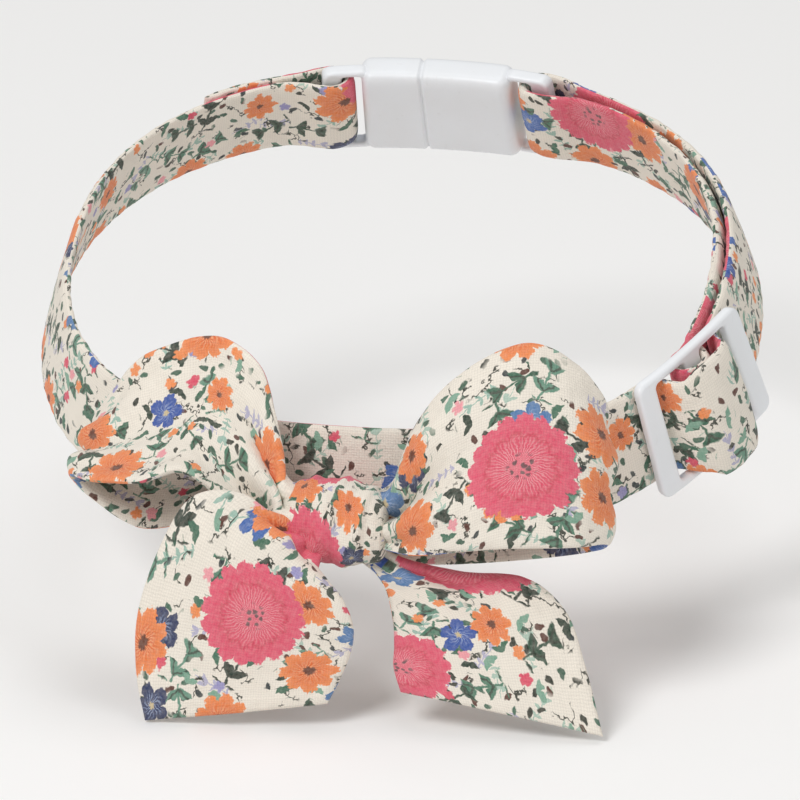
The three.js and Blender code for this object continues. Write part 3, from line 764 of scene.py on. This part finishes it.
def reckoning(operation, swapped=False):
    def reckon(self, other):
        return self.nodes.math(operation, *((other, self) if swapped else (self, other)))

    return reckon


class Value:
    """One output of a node, to reckon with. An index gives the same node's other outputs."""

    def __init__(self, nodes, node, key=0):
        self.nodes, self.node, self.socket = nodes, node, node.outputs[key]

    def __getitem__(self, key):
        return Value(self.nodes, self.node, key)

    __add__, __radd__ = reckoning("ADD"), reckoning("ADD", swapped=True)
    __sub__, __rsub__ = reckoning("SUBTRACT"), reckoning("SUBTRACT", swapped=True)
    __truediv__, __rtruediv__ = reckoning("DIVIDE"), reckoning("DIVIDE", swapped=True)
    __mul__, __lt__, __gt__ = map(reckoning, ("MULTIPLY", "LESS_THAN", "GREATER_THAN"))

    def __abs__(self):
        return self.nodes.math("ABSOLUTE", self)

    def remap(self, low, high, to_low=0.0, to_high=1.0):
        """Straight from low to high, and no further."""
        limits = {"From Min": low, "From Max": high, "To Min": to_low, "To Max": to_high}
        return self.nodes.add("ShaderNodeMapRange", {"Value": self, **limits})


class Nodes:
    """Adds nodes to a tree, in columns, and joins them up."""

    def __init__(self, tree):
        self.tree, self.count = tree, 0

    def make(self, kind, inputs=(), **settings):
        node = self.tree.nodes.new(kind)
        node.location = (190 * (self.count // 7), -170 * (self.count % 7))
        self.count += 1
        for name, value in settings.items():
            setattr(node, name, value)
        self.feed(node, inputs)
        return node

    def add(self, kind, inputs=(), **settings):
        return Value(self, self.make(kind, inputs, **settings))

    def feed(self, node, inputs):
        for name, value in dict(inputs).items():
            socket = node.inputs[name]
            if isinstance(value, Value):
                self.tree.links.new(value.socket, socket)
            elif socket.type == "RGBA":
                socket.default_value = (*value[:3], 1)
            else:
                socket.default_value = value

    def feeder(self, node, result):
        """What feeds the node's inputs by their names and then gives the result."""

        def put(**inputs):
            self.feed(node, {name.replace("_", " "): value for name, value in inputs.items()})
            return result

        return put

    def use(self, tree, **inputs):
        return self.add("ShaderNodeGroup", inputs, node_tree=tree)

    def math(self, operation, *values, clamp=False):
        return self.add("ShaderNodeMath", enumerate(values), operation=operation, use_clamp=clamp)

    def vector(self, operation, *values):
        return self.add("ShaderNodeVectorMath", enumerate(values), operation=operation)

    def scaled(self, vector, scale):
        return self.add("ShaderNodeVectorMath", {0: vector, "Scale": scale}, operation="SCALE")

    def mix(self, factor, a, b, how="MIX"):
        inputs = {0: factor, 6: a, 7: b}
        return self.add("ShaderNodeMix", inputs, data_type="RGBA", blend_type=how)[2]

    def noise(self, vector, scale, detail=2.0, roughness=0.5, distortion=0.0):
        inputs = {"Vector": vector, "Scale": scale, "Detail": detail, "Roughness": roughness}
        return self.add("ShaderNodeTexNoise", {**inputs, "Distortion": distortion})

    def relief(self, height, strength, distance):
        inputs = {"Height": height, "Strength": strength, "Distance": distance}
        return self.add("ShaderNodeBump", inputs)


def new_group(name, inputs, outputs):
    """A shader node group. An input's default is a number, a colour, or None for a vector. It
    gives the group's nodes, its inputs, and what puts its outputs."""
    tree = bpy.data.node_groups.new(name, "ShaderNodeTree")
    for label, default in inputs.items():
        is_number = isinstance(default, float)
        kind = "Vector" if default is None else "Float" if is_number else "Color"
        kind = "NodeSocket" + kind
        socket = tree.interface.new_socket(name=label, in_out="INPUT", socket_type=kind)
        if default is not None:
            socket.default_value = default if is_number else (*default, 1)
    for label in outputs:
        kind = "NodeSocketColor" if label == "Colour" else "NodeSocketFloat"
        tree.interface.new_socket(name=label, in_out="OUTPUT", socket_type=kind)
    nodes = Nodes(tree)
    given = nodes.add("NodeGroupInput")
    return nodes, given, nodes.feeder(nodes.make("NodeGroupOutput"), tree)


def scatter_group():
    """Scatters motifs over the cloth: the place within the nearest motif, and its own numbers."""
    nodes, given, put = new_group(
        "Scattered motifs",
        {"Place": None, "Spacing": 10.0, "Spread": 0.6, "Seed": 0.0},
        ("Across", "Along", "Radius", "Angle", "Chance", "Tint"),
    )
    seed = given["Seed"]
    shift = nodes.add("ShaderNodeCombineXYZ", {"X": seed * 37.3, "Y": seed * 17.9})
    place = nodes.vector("ADD", given["Place"], shift)
    cell = nodes.add(
        "ShaderNodeTexVoronoi",
        {"Vector": place, "Scale": 1.0 / given["Spacing"], "Randomness": given["Spread"]},
        voronoi_dimensions="2D",
        feature="F1",
    )
    own = nodes.add("ShaderNodeSeparateColor", {"Color": cell["Color"]})
    away = nodes.vector("SUBTRACT", place, cell["Position"])
    turned = nodes.add(
        "ShaderNodeVectorRotate",
        {"Vector": away, "Angle": own[0] * (2 * math.pi)},
        rotation_type="Z_AXIS",
    )
    local = nodes.add("ShaderNodeSeparateXYZ", {0: turned})
    x, y = local[0], local[1]
    return put(
        Across=x,
        Along=y,
        Radius=nodes.math("SQRT", x * x + y * y),
        Angle=nodes.math("ARCTAN2", y, x),
        Chance=own[1],
        Tint=own[2],
    )


def flower_group():
    """A many-petalled flower: where it is, how far out, the lines between petals, its eye."""
    sizes = {"Radius": 1.0, "Angle": 0.0, "Size": 3.0, "Petals": 8.0}
    nodes, given, put = new_group(
        "Petalled flower",
        {**sizes, "Notch": 0.25, "Ragged": 0.0, "Eye": 0.18},
        ("Mask", "Depth", "Streak", "Eye"),
    )
    angle, petals, radius = given["Angle"], given["Petals"], given["Radius"]
    swing = abs(nodes.math("COSINE", angle * (petals * 0.5)))
    notch = given["Notch"] * (1.0 - nodes.math("POWER", swing, 0.6))
    reach = given["Size"] * (1.0 + given["Ragged"] - notch)
    depth = nodes.math("DIVIDE", radius, nodes.math("MAXIMUM", reach, 0.01), clamp=True)
    lines = abs(nodes.math("SINE", angle * (petals * 1.5) + depth * 9.0))
    return put(
        Mask=nodes.math("ADD", (reach - radius) / 0.16, 0.5, clamp=True),
        Depth=depth,
        Streak=lines.remap(0.62, 0.95) * depth.remap(0.75, 0.3),
        Eye=depth.remap(given["Eye"] + 0.05, given["Eye"] - 0.03),
    )


LEAF_TILT = math.radians(42)


def spray_group():
    """A short stem with pairs of leaves, and the line down the middle of each leaf."""
    nodes, given, put = new_group(
        "Leaf spray",
        {"Across": 0.0, "Along": 0.0, "Size": 1.0, "Reach": 2.4, "Plump": 0.4},
        ("Mask", "Vein", "Stem"),
    )
    along = given["Along"] / given["Size"]
    across = abs(given["Across"] / given["Size"])
    within = abs(along).remap(given["Reach"], given["Reach"] - 0.12)
    pair = nodes.math("FLOORED_MODULO", along - along * along * 0.1, 1.7) - 0.85
    cos, sin = math.cos(LEAF_TILT), math.sin(LEAF_TILT)
    run = pair * cos + across * sin
    over = across * cos - pair * sin
    far = (run - 0.78) / 0.9
    wide = over / given["Plump"]
    leaf = (1.0 - (far * far + wide * wide)).remap(0.0, 0.3) * within
    vein = leaf * abs(over).remap(0.13, 0.05)
    return put(Mask=leaf, Vein=vein, Stem=across.remap(0.13, 0.06) * within)


PRINT_COLOURS = ("Ground", "Bloom", "Bloom pale", "Daisy", "Blue", "Leaf", "Mint", "Stem")


def print_group(colours):
    """The floral print: flowers, leaves, sprays, stems and seeds over unprinted cotton."""
    paints = {name: getattr(colours, name.lower().replace(" ", "_")) for name in PRINT_COLOURS}
    nodes, given, put = new_group(
        "Floral print", {"Place": None, "Seed": 0.0, **paints}, ("Colour", "Ink")
    )
    scatter, flower, spray = scatter_group(), flower_group(), spray_group()
    cloth, mix, noise = given["Place"], nodes.mix, nodes.noise
    warp = nodes.vector("SUBTRACT", noise(cloth, 0.9, 2.0, 0.6)["Color"], (0.5, 0.5, 0.5))
    drawn = nodes.vector("ADD", cloth, nodes.scaled(warp, 0.9))
    rough = (noise(cloth, 2.6, 1.0) - 0.5) * 0.35
    patchy = noise(cloth, 0.22, 1.0)
    colour, ink = given["Ground"], 0.0

    def motifs(seed, spacing, spread):
        seed = given["Seed"] + float(seed)
        return nodes.use(scatter, Place=drawn, Spacing=spacing, Spread=spread, Seed=seed)

    def leaves_of(own, size, reach, plump):
        place = {"Across": own["Across"], "Along": own["Along"]}
        return nodes.use(spray, **place, Size=size, Reach=reach, Plump=plump)

    def petals_of(own, size, petals, notch, eye, ragged=rough, turn=None):
        angle = own["Angle"] + turn if turn else own["Angle"]
        place = {"Radius": own["Radius"], "Angle": angle, "Size": size, "Petals": petals}
        return nodes.use(flower, **place, Notch=notch, Ragged=ragged, Eye=eye)

    def some(own, share):
        return own["Chance"] < share

    def lay(mask, paint):
        nonlocal colour, ink
        colour = mix(mask, colour, paint)
        ink = nodes.math("MAXIMUM", ink, mask)

    def shades(own, *paints):
        """One of the paints for each motif, by its own number."""
        chosen = paints[0]
        for k, paint in enumerate(paints[1:], 1):
            chosen = mix(own["Tint"] > k / len(paints), chosen, paint)
        return chosen

    # pale sprays and sprigs
    own = motifs(1, 5.4, 0.8)
    leaves = leaves_of(own, 0.66, 3.4, 0.32)
    paint = shades(own, given["Mint"], (0.33, 0.50, 0.42), (0.47, 0.45, 0.60))
    lay(nodes.math("MAXIMUM", leaves["Mask"], leaves["Stem"]) * some(own, 0.8), paint)
    # stems
    wavy = nodes.vector("ADD", cloth, nodes.scaled(warp, 3.2))
    cells = nodes.add(
        "ShaderNodeTexVoronoi",
        {"Vector": wavy, "Scale": 0.2, "Randomness": 1.0},
        voronoi_dimensions="2D",
        feature="DISTANCE_TO_EDGE",
    )
    broken = noise(cloth, 0.42, 1.0).remap(0.5, 0.55)
    lay(cells["Distance"].remap(0.035, 0.016) * broken, given["Stem"])
    # seeds and small dark leaves
    own = motifs(2, 1.6, 0.95)
    x, y = own["Across"], own["Along"]
    seeds = (x * x * 9.0 + y * y * 2.6).remap(1.0, 0.6)
    darks = (0.04, 0.11, 0.07), (0.02, 0.035, 0.04), (0.10, 0.03, 0.02), (0.06, 0.15, 0.10)
    paint = shades(own, given["Stem"], *darks)
    lay(seeds * (some(own, 0.38) * patchy.remap(0.36, 0.44)), paint)
    # green sprays
    own = motifs(3, 6.2, 0.7)
    leaves = leaves_of(own, 1.45, 1.7, 0.4)
    keep = some(own, 0.8)
    greens = (0.018, 0.04, 0.028), (0.07, 0.20, 0.13), (0.03, 0.08, 0.05), (0.12, 0.28, 0.20)
    paint = shades(own, given["Leaf"], *greens)
    lay(nodes.math("MAXIMUM", leaves["Mask"], leaves["Stem"]) * keep, paint)
    lay(leaves["Vein"] * (keep * 0.8), given["Stem"])
    # small leaf pairs
    own = motifs(4, 3.8, 0.8)
    leaves = leaves_of(own, 0.95, 0.95, 0.48)
    greens = (0.05, 0.16, 0.10), (0.02, 0.045, 0.03), given["Leaf"], (0.20, 0.38, 0.28)
    lay(leaves["Mask"] * some(own, 0.5), shades(own, *greens))
    # buds and berries
    own = motifs(5, 3.3, 0.8)
    bud = petals_of(own, 0.72, 5.0, 0.4, 0.0)
    reds = given["Bloom"], given["Daisy"], given["Bloom pale"], (0.32, 0.30, 0.55), given["Daisy"]
    lay(bud["Mask"] * some(own, 0.24), shades(own, *reds))
    # blue flowers
    own = motifs(6, 7.2, 0.62)
    petals = petals_of(own, 2.15, 5.0, 0.5, 0.16)
    paint = shades(own, given["Blue"], (0.04, 0.13, 0.42), (0.02, 0.035, 0.11), (0.08, 0.20, 0.42))
    paint = mix(petals["Streak"] * 0.55, paint, (0.45, 0.55, 0.78))
    paint = mix(petals["Eye"], paint, (0.62, 0.50, 0.30))
    lay(petals["Mask"] * some(own, 0.33), paint)
    # daisies
    own = motifs(7, 9.0, 0.6)
    petals = petals_of(own, own["Tint"].remap(0, 1, 1.9, 3.7), 8.0, 0.34, 0.2)
    paint = mix(petals["Depth"].remap(0.2, 1.0), (0.72, 0.12, 0.025), given["Daisy"])
    paint = mix(petals["Streak"] * 0.7, paint, (0.93, 0.46, 0.22))
    paint = mix(petals["Eye"], paint, (0.14, 0.035, 0.015))
    lay(petals["Mask"] * some(own, 0.5), paint)
    # large blooms, with a second ring of petals and a dotted eye
    own = motifs(8, 19.0, 0.5)
    petals = petals_of(own, 6.0, 17.0, 0.13, 0.1, rough * 0.5)
    inner = petals_of(own, 4.1, 13.0, 0.2, 0.1, rough * 0.7, turn=0.7)
    rim = abs(inner["Depth"] - 0.93).remap(0.07, 0.02) * (petals["Depth"] < 0.85)
    tips = petals["Depth"].remap(0.55, 1.0)
    paint = mix(tips * 0.55, given["Bloom"], (0.80, 0.13, 0.21))
    paint = mix(petals["Streak"] * 0.85, paint, given["Bloom pale"])
    paint = mix(rim * 0.55, paint, (0.56, 0.035, 0.07))
    dots = motifs(9, 0.85, 0.9)["Radius"].remap(0.3, 0.2) * petals["Depth"].remap(0.3, 0.2)
    lay(petals["Mask"] * some(own, 0.42), mix(dots, paint, (0.16, 0.07, 0.08)))
    # ink lies a little unevenly on the cloth
    uneven = noise(cloth, 1.7, 3.0, 0.7).remap(0.3, 0.7)
    return put(Colour=mix(ink * uneven * 0.16, colour, given["Ground"]), Ink=ink)


def weave_group():
    """Plain-woven cotton: the height of the threads, and how light each crossing is, which is
    painted shade: darker in the hollows between threads, a little lighter on their tops.
    """
    nodes, given, put = new_group(
        "Plain weave", {"Place": None, "Thread": 0.36}, ("Height", "Shade")
    )
    slub = nodes.noise(nodes.vector("MULTIPLY", given["Place"], (0.35, 1.6, 1.0)), 1.0, 2.0)
    drift = nodes.vector("SUBTRACT", slub["Color"], (0.5, 0.5, 0.5))
    place = nodes.vector("ADD", given["Place"], nodes.scaled(drift, 0.22))
    counted = nodes.vector("ADD", nodes.scaled(place, 1.0 / given["Thread"]), (0, 0, 0.5))
    turn = nodes.add("ShaderNodeSeparateXYZ", {0: nodes.scaled(counted, math.pi)})
    black_white = {"Color1": (1, 1, 1), "Color2": (0, 0, 0)}
    checks = nodes.add("ShaderNodeTexChecker", {"Vector": counted, "Scale": 1.0, **black_white})
    over = checks["Fac"]
    warp = abs(nodes.math("SINE", turn[0])) * over.remap(0, 1, 0.45, 1.0)
    weft = abs(nodes.math("SINE", turn[1])) * over.remap(0, 1, 1.0, 0.45)
    height = nodes.math("MAXIMUM", warp, weft)
    # Shade is painted shade and highlight: colour darkened where the threads dip and lightened on
    # their tops.
    return put(Height=height, Shade=height.remap(0.3, 1.0, 0.91, 1.02))


def new_material(name):
    """A material with one Principled shader: its nodes, and what feeds that shader."""
    material = bpy.data.materials.new(name)
    material.use_nodes = True
    tree = material.node_tree
    tree.nodes.clear()
    nodes = Nodes(tree)
    surface = nodes.add("ShaderNodeBsdfPrincipled")
    nodes.make("ShaderNodeOutputMaterial", {"Surface": surface})
    return nodes, nodes.feeder(surface.node, material)


def printed_cotton(name, seed):
    """Printed cotton with its own part of the print."""
    if name in bpy.data.materials:
        return bpy.data.materials[name]
    scene = bpy.context.scene
    groups = bpy.data.node_groups
    prints = groups.get("Floral print") or print_group(scene.collar_colours)
    weave = groups.get("Plain weave") or weave_group()
    nodes, put = new_material(name)
    place = nodes.add("ShaderNodeUVMap", uv_map=PRINT_MAP)
    figure = nodes.use(prints, Place=place, Seed=seed)
    threads = nodes.use(weave, Place=place, Thread=scene.collar_sizes.thread / MM)
    # Painted shade between the threads, from the weave, times a random unevenness in the cotton's
    # own colour; the print is multiplied by both.
    shade = threads["Shade"] * nodes.noise(place, 0.35, 3.0, 0.55).remap(0.3, 0.7, 0.965, 1.02)
    thread_shade_and_tone = nodes.add("ShaderNodeCombineColor", {0: shade, 1: shade, 2: shade})
    crease = nodes.noise(place, 0.75, 4.0, 0.6, 0.4)
    return put(
        Base_Color=nodes.mix(1.0, figure["Colour"], thread_shade_and_tone, "MULTIPLY"),
        Roughness=figure["Ink"].remap(0, 1, 0.9, 0.8),
        Specular_IOR_Level=0.25,
        Sheen_Weight=0.12,
        Sheen_Roughness=0.5,
        Normal=nodes.relief(threads["Height"] * 0.05 + crease * 0.28, 0.75, MM),
    )


def moulded_plastic():
    """White plastic, faintly cloudy and scuffed."""
    name = "White moulded plastic"
    if name in bpy.data.materials:
        return bpy.data.materials[name]
    nodes, put = new_material(name)
    place = nodes.add("ShaderNodeTexCoord")["Object"]
    cloudy = nodes.noise(place, 160.0, 3.0)
    along = nodes.vector("MULTIPLY", place, (1.0, 1.0, 0.12))
    scuffs = nodes.noise(along, 1500.0, 4.0, 0.7).remap(0.62, 0.72)
    plain = bpy.context.scene.collar_colours.plastic
    colour = nodes.mix(cloudy.remap(0.35, 0.65, 0.0, 0.35), plain, (0.78, 0.79, 0.80))
    return put(
        Base_Color=nodes.mix(scuffs * 0.2, colour, (0.68, 0.68, 0.67)),
        Roughness=cloudy.remap(0.3, 0.7, 0.3, 0.4) + scuffs * 0.2,
        Normal=nodes.relief(nodes.noise(place, 2600.0, 2.0), 0.25, 0.00004),
    )


def sewing_thread():
    """Cream thread, with its ply, and painted shade darkening the grooves between the plies."""
    nodes, put = new_material("Cream sewing thread")
    place = nodes.add("ShaderNodeTexCoord")["Object"]
    ply = nodes.add(
        "ShaderNodeTexWave",
        {"Vector": place, "Scale": 900.0, "Distortion": 1.5, "Detail": 1.0},
        wave_type="BANDS",
        bands_direction="DIAGONAL",
    )["Fac"]
    return put(
        # Painted shade: the colour darkens in the grooves between the plies and is lightest on
        # their ridges.
        Base_Color=nodes.mix(ply, (0.62, 0.55, 0.42), (0.86, 0.80, 0.68)),
        Roughness=ply.remap(0, 1, 0.75, 0.6),
        Normal=nodes.relief(ply, 0.5, 0.0001),
    )


def pale_floor():
    """A pale matt floor."""
    nodes, put = new_material("Pale floor")
    soft = nodes.noise(nodes.add("ShaderNodeTexCoord")["Object"], 3.0, 2.0)
    plain = bpy.context.scene.collar_colours.floor
    return put(
        Base_Color=nodes.mix(soft.remap(0.3, 0.7, 0.0, 0.1), plain, (0.88, 0.88, 0.88)),
        Roughness=soft.remap(0.3, 0.7, 0.75, 0.85),
    )


# ---- Operators ----


class COLLAR_OT_strap(bpy.types.Operator):
    """Make the cotton-sleeved strap and the stitches at its sewn-back end"""

    bl_idname = "collar.strap"
    bl_label = "Strap"

    def execute(self, context):
        sizes = context.scene.collar_sizes
        sleeve, length = make_strap(sizes)
        cotton = printed_cotton("Printed cotton sleeve", seed=11.0)
        finished(sleeve, cotton, "printed_cotton", "neck_strap")
        stitches = finished(make_strap_stitches(sizes), sewing_thread(), "printed_cotton")
        return {"FINISHED"}


class COLLAR_OT_bow_ribbon(bpy.types.Operator):
    """Make the bow's two loops and two tails"""

    bl_idname = "collar.bow_ribbon"
    bl_label = "Bow loops and tails"

    def execute(self, context):
        sizes = context.scene.collar_sizes
        cotton = printed_cotton("Printed cotton ribbon", seed=0.0)
        for name, node, rows, shift, cut_from, loop in (
            ("bow_loop_right_ribbon", "bow_loop_right", LOOP_RIGHT, 1.0, (100, 70), True),
            ("bow_loop_left_ribbon", "bow_loop_left", LOOP_LEFT, 2.0, (190, 0), True),
            ("tail_left_ribbon", "tail_left", TAIL_LEFT, 3.0, (300, 220), False),
            ("tail_right_ribbon", "tail_right", TAIL_RIGHT, 4.0, (195, 270), False),
        ):
            piece, length = make_ribbon(name, rows, sizes, shift, cut_from, loop)
            finished(piece, cotton, "printed_cotton", node)
        return {"FINISHED"}


class COLLAR_OT_knot(bpy.types.Operator):
    """Make the bow's knot"""

    bl_idname = "collar.knot"
    bl_label = "Bow knot"

    def execute(self, context):
        cotton = printed_cotton("Printed cotton ribbon", seed=0.0)
        knot = finished(make_knot(), cotton, "printed_cotton", "knot")
        return {"FINISHED"}


class COLLAR_OT_fittings(bpy.types.Operator):
    """Make the slider and the buckle"""

    bl_idname = "collar.fittings"
    bl_label = "Slider and buckle"

    def execute(self, context):
        for piece, node in ((make_slider(), "slider"), (make_buckle(), "buckle")):
            finished(piece, moulded_plastic(), "white_plastic", node)
            weighted = piece.modifiers.new("Even shading", "WEIGHTED_NORMAL")
            weighted.keep_sharp = True
        return {"FINISHED"}


CAMERA_AZIMUTH, CAMERA_ELEVATION = math.radians(9), math.radians(22)
CAMERA_DISTANCE, AIM_BELOW, CAMERA_LENS = 1.3, 0.003, 500.0  # metres, but for the lens
LIGHTS = (  # name, place from the middle, size, power
    ("key light", (-0.45, -0.75, 0.95), 0.55, 8.5),
    ("fill light", (0.85, -0.55, 0.45), 0.6, 1.6),
    ("top light", (0.1, 0.35, 1.1), 0.7, 2.2),
)
FLOOR_HALF, FLOOR_GAP = 2.0, 0.0002


class COLLAR_OT_stage(bpy.types.Operator):
    """Make the floor, the lights and the camera"""

    bl_idname = "collar.stage"
    bl_label = "Stage"

    def execute(self, context):
        scene = context.scene
        low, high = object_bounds()
        corners = np.array([[-1, -1, 0], [1, -1, 0], [1, 1, 0], [-1, 1, 0]])
        floor = add_piece("floor", corners * FLOOR_HALF / MM, [[0, 1, 2, 3]])
        floor.location.z = low.z - FLOOR_GAP
        floor.data.materials.append(pale_floor())
        floor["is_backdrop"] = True

        world = bpy.data.worlds.new("Soft studio")
        world.use_nodes = True
        background = world.node_tree.nodes["Background"].inputs
        background["Color"].default_value = (1.0, 0.995, 0.98, 1)
        background["Strength"].default_value = 0.42
        scene.world = world
        centre = (low + high) / 2
        for name, place, size, power in LIGHTS:
            data = bpy.data.lights.new(name, "AREA")
            data.shape, data.size, data.energy = "DISK", size, power
            light = bpy.data.objects.new(name, data)
            light.location = centre + Vector(place)
            light.rotation_euler = (-Vector(place)).to_track_quat("-Z", "Y").to_euler()
            scene.collection.objects.link(light)

        data = bpy.data.cameras.new("camera")
        data.lens, data.clip_start, data.clip_end = CAMERA_LENS, 0.05, 20.0
        camera = bpy.data.objects.new("camera", data)
        level, rise = math.cos(CAMERA_ELEVATION), math.sin(CAMERA_ELEVATION)
        back = Vector((math.sin(CAMERA_AZIMUTH) * level, -math.cos(CAMERA_AZIMUTH) * level, rise))
        camera.location = centre - Vector((0, 0, AIM_BELOW)) + back * CAMERA_DISTANCE
        camera.rotation_euler = (-back).to_track_quat("-Z", "Y").to_euler()
        scene.collection.objects.link(camera)
        scene.camera = camera
        scene.view_settings.view_transform = "Standard"
        return {"FINISHED"}


class COLLAR_PT_panel(bpy.types.Panel):
    """The collar's sizes, colours and steps."""

    bl_label = "Flower Collar"
    bl_idname = "COLLAR_PT_panel"
    bl_space_type = "VIEW_3D"
    bl_region_type = "UI"
    bl_category = "Collar"

    def draw(self, context):
        layout, scene = self.layout, context.scene
        for title, group in (("Sizes", scene.collar_sizes), ("Colours", scene.collar_colours)):
            box = layout.box()
            box.label(text=title)
            for name in group.__annotations__:
                box.prop(group, name)
        for step in STEPS:
            layout.operator(step.bl_idname)


STEPS = (COLLAR_OT_strap, COLLAR_OT_bow_ribbon, COLLAR_OT_knot, COLLAR_OT_fittings, COLLAR_OT_stage)
CLASSES = (CollarSizes, CollarColours, *STEPS, COLLAR_PT_panel)


def register():
    for item in CLASSES:
        bpy.utils.register_class(item)
    bpy.types.Scene.collar_sizes = PointerProperty(type=CollarSizes)
    bpy.types.Scene.collar_colours = PointerProperty(type=CollarColours)


def unregister():
    del bpy.types.Scene.collar_sizes
    del bpy.types.Scene.collar_colours
    for item in reversed(CLASSES):
        bpy.utils.unregister_class(item)


def main():
    register()
    bpy.ops.collar.fittings()
    bpy.ops.collar.strap()
    bpy.ops.collar.knot()
    bpy.ops.collar.bow_ribbon()
    bpy.ops.collar.stage()
    boxes = {"cad": CAD_BOX, "visual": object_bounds()}
    {name: [list(corner) for corner in box] for name, box in boxes.items()}


if __name__ == "__main__":
    main()
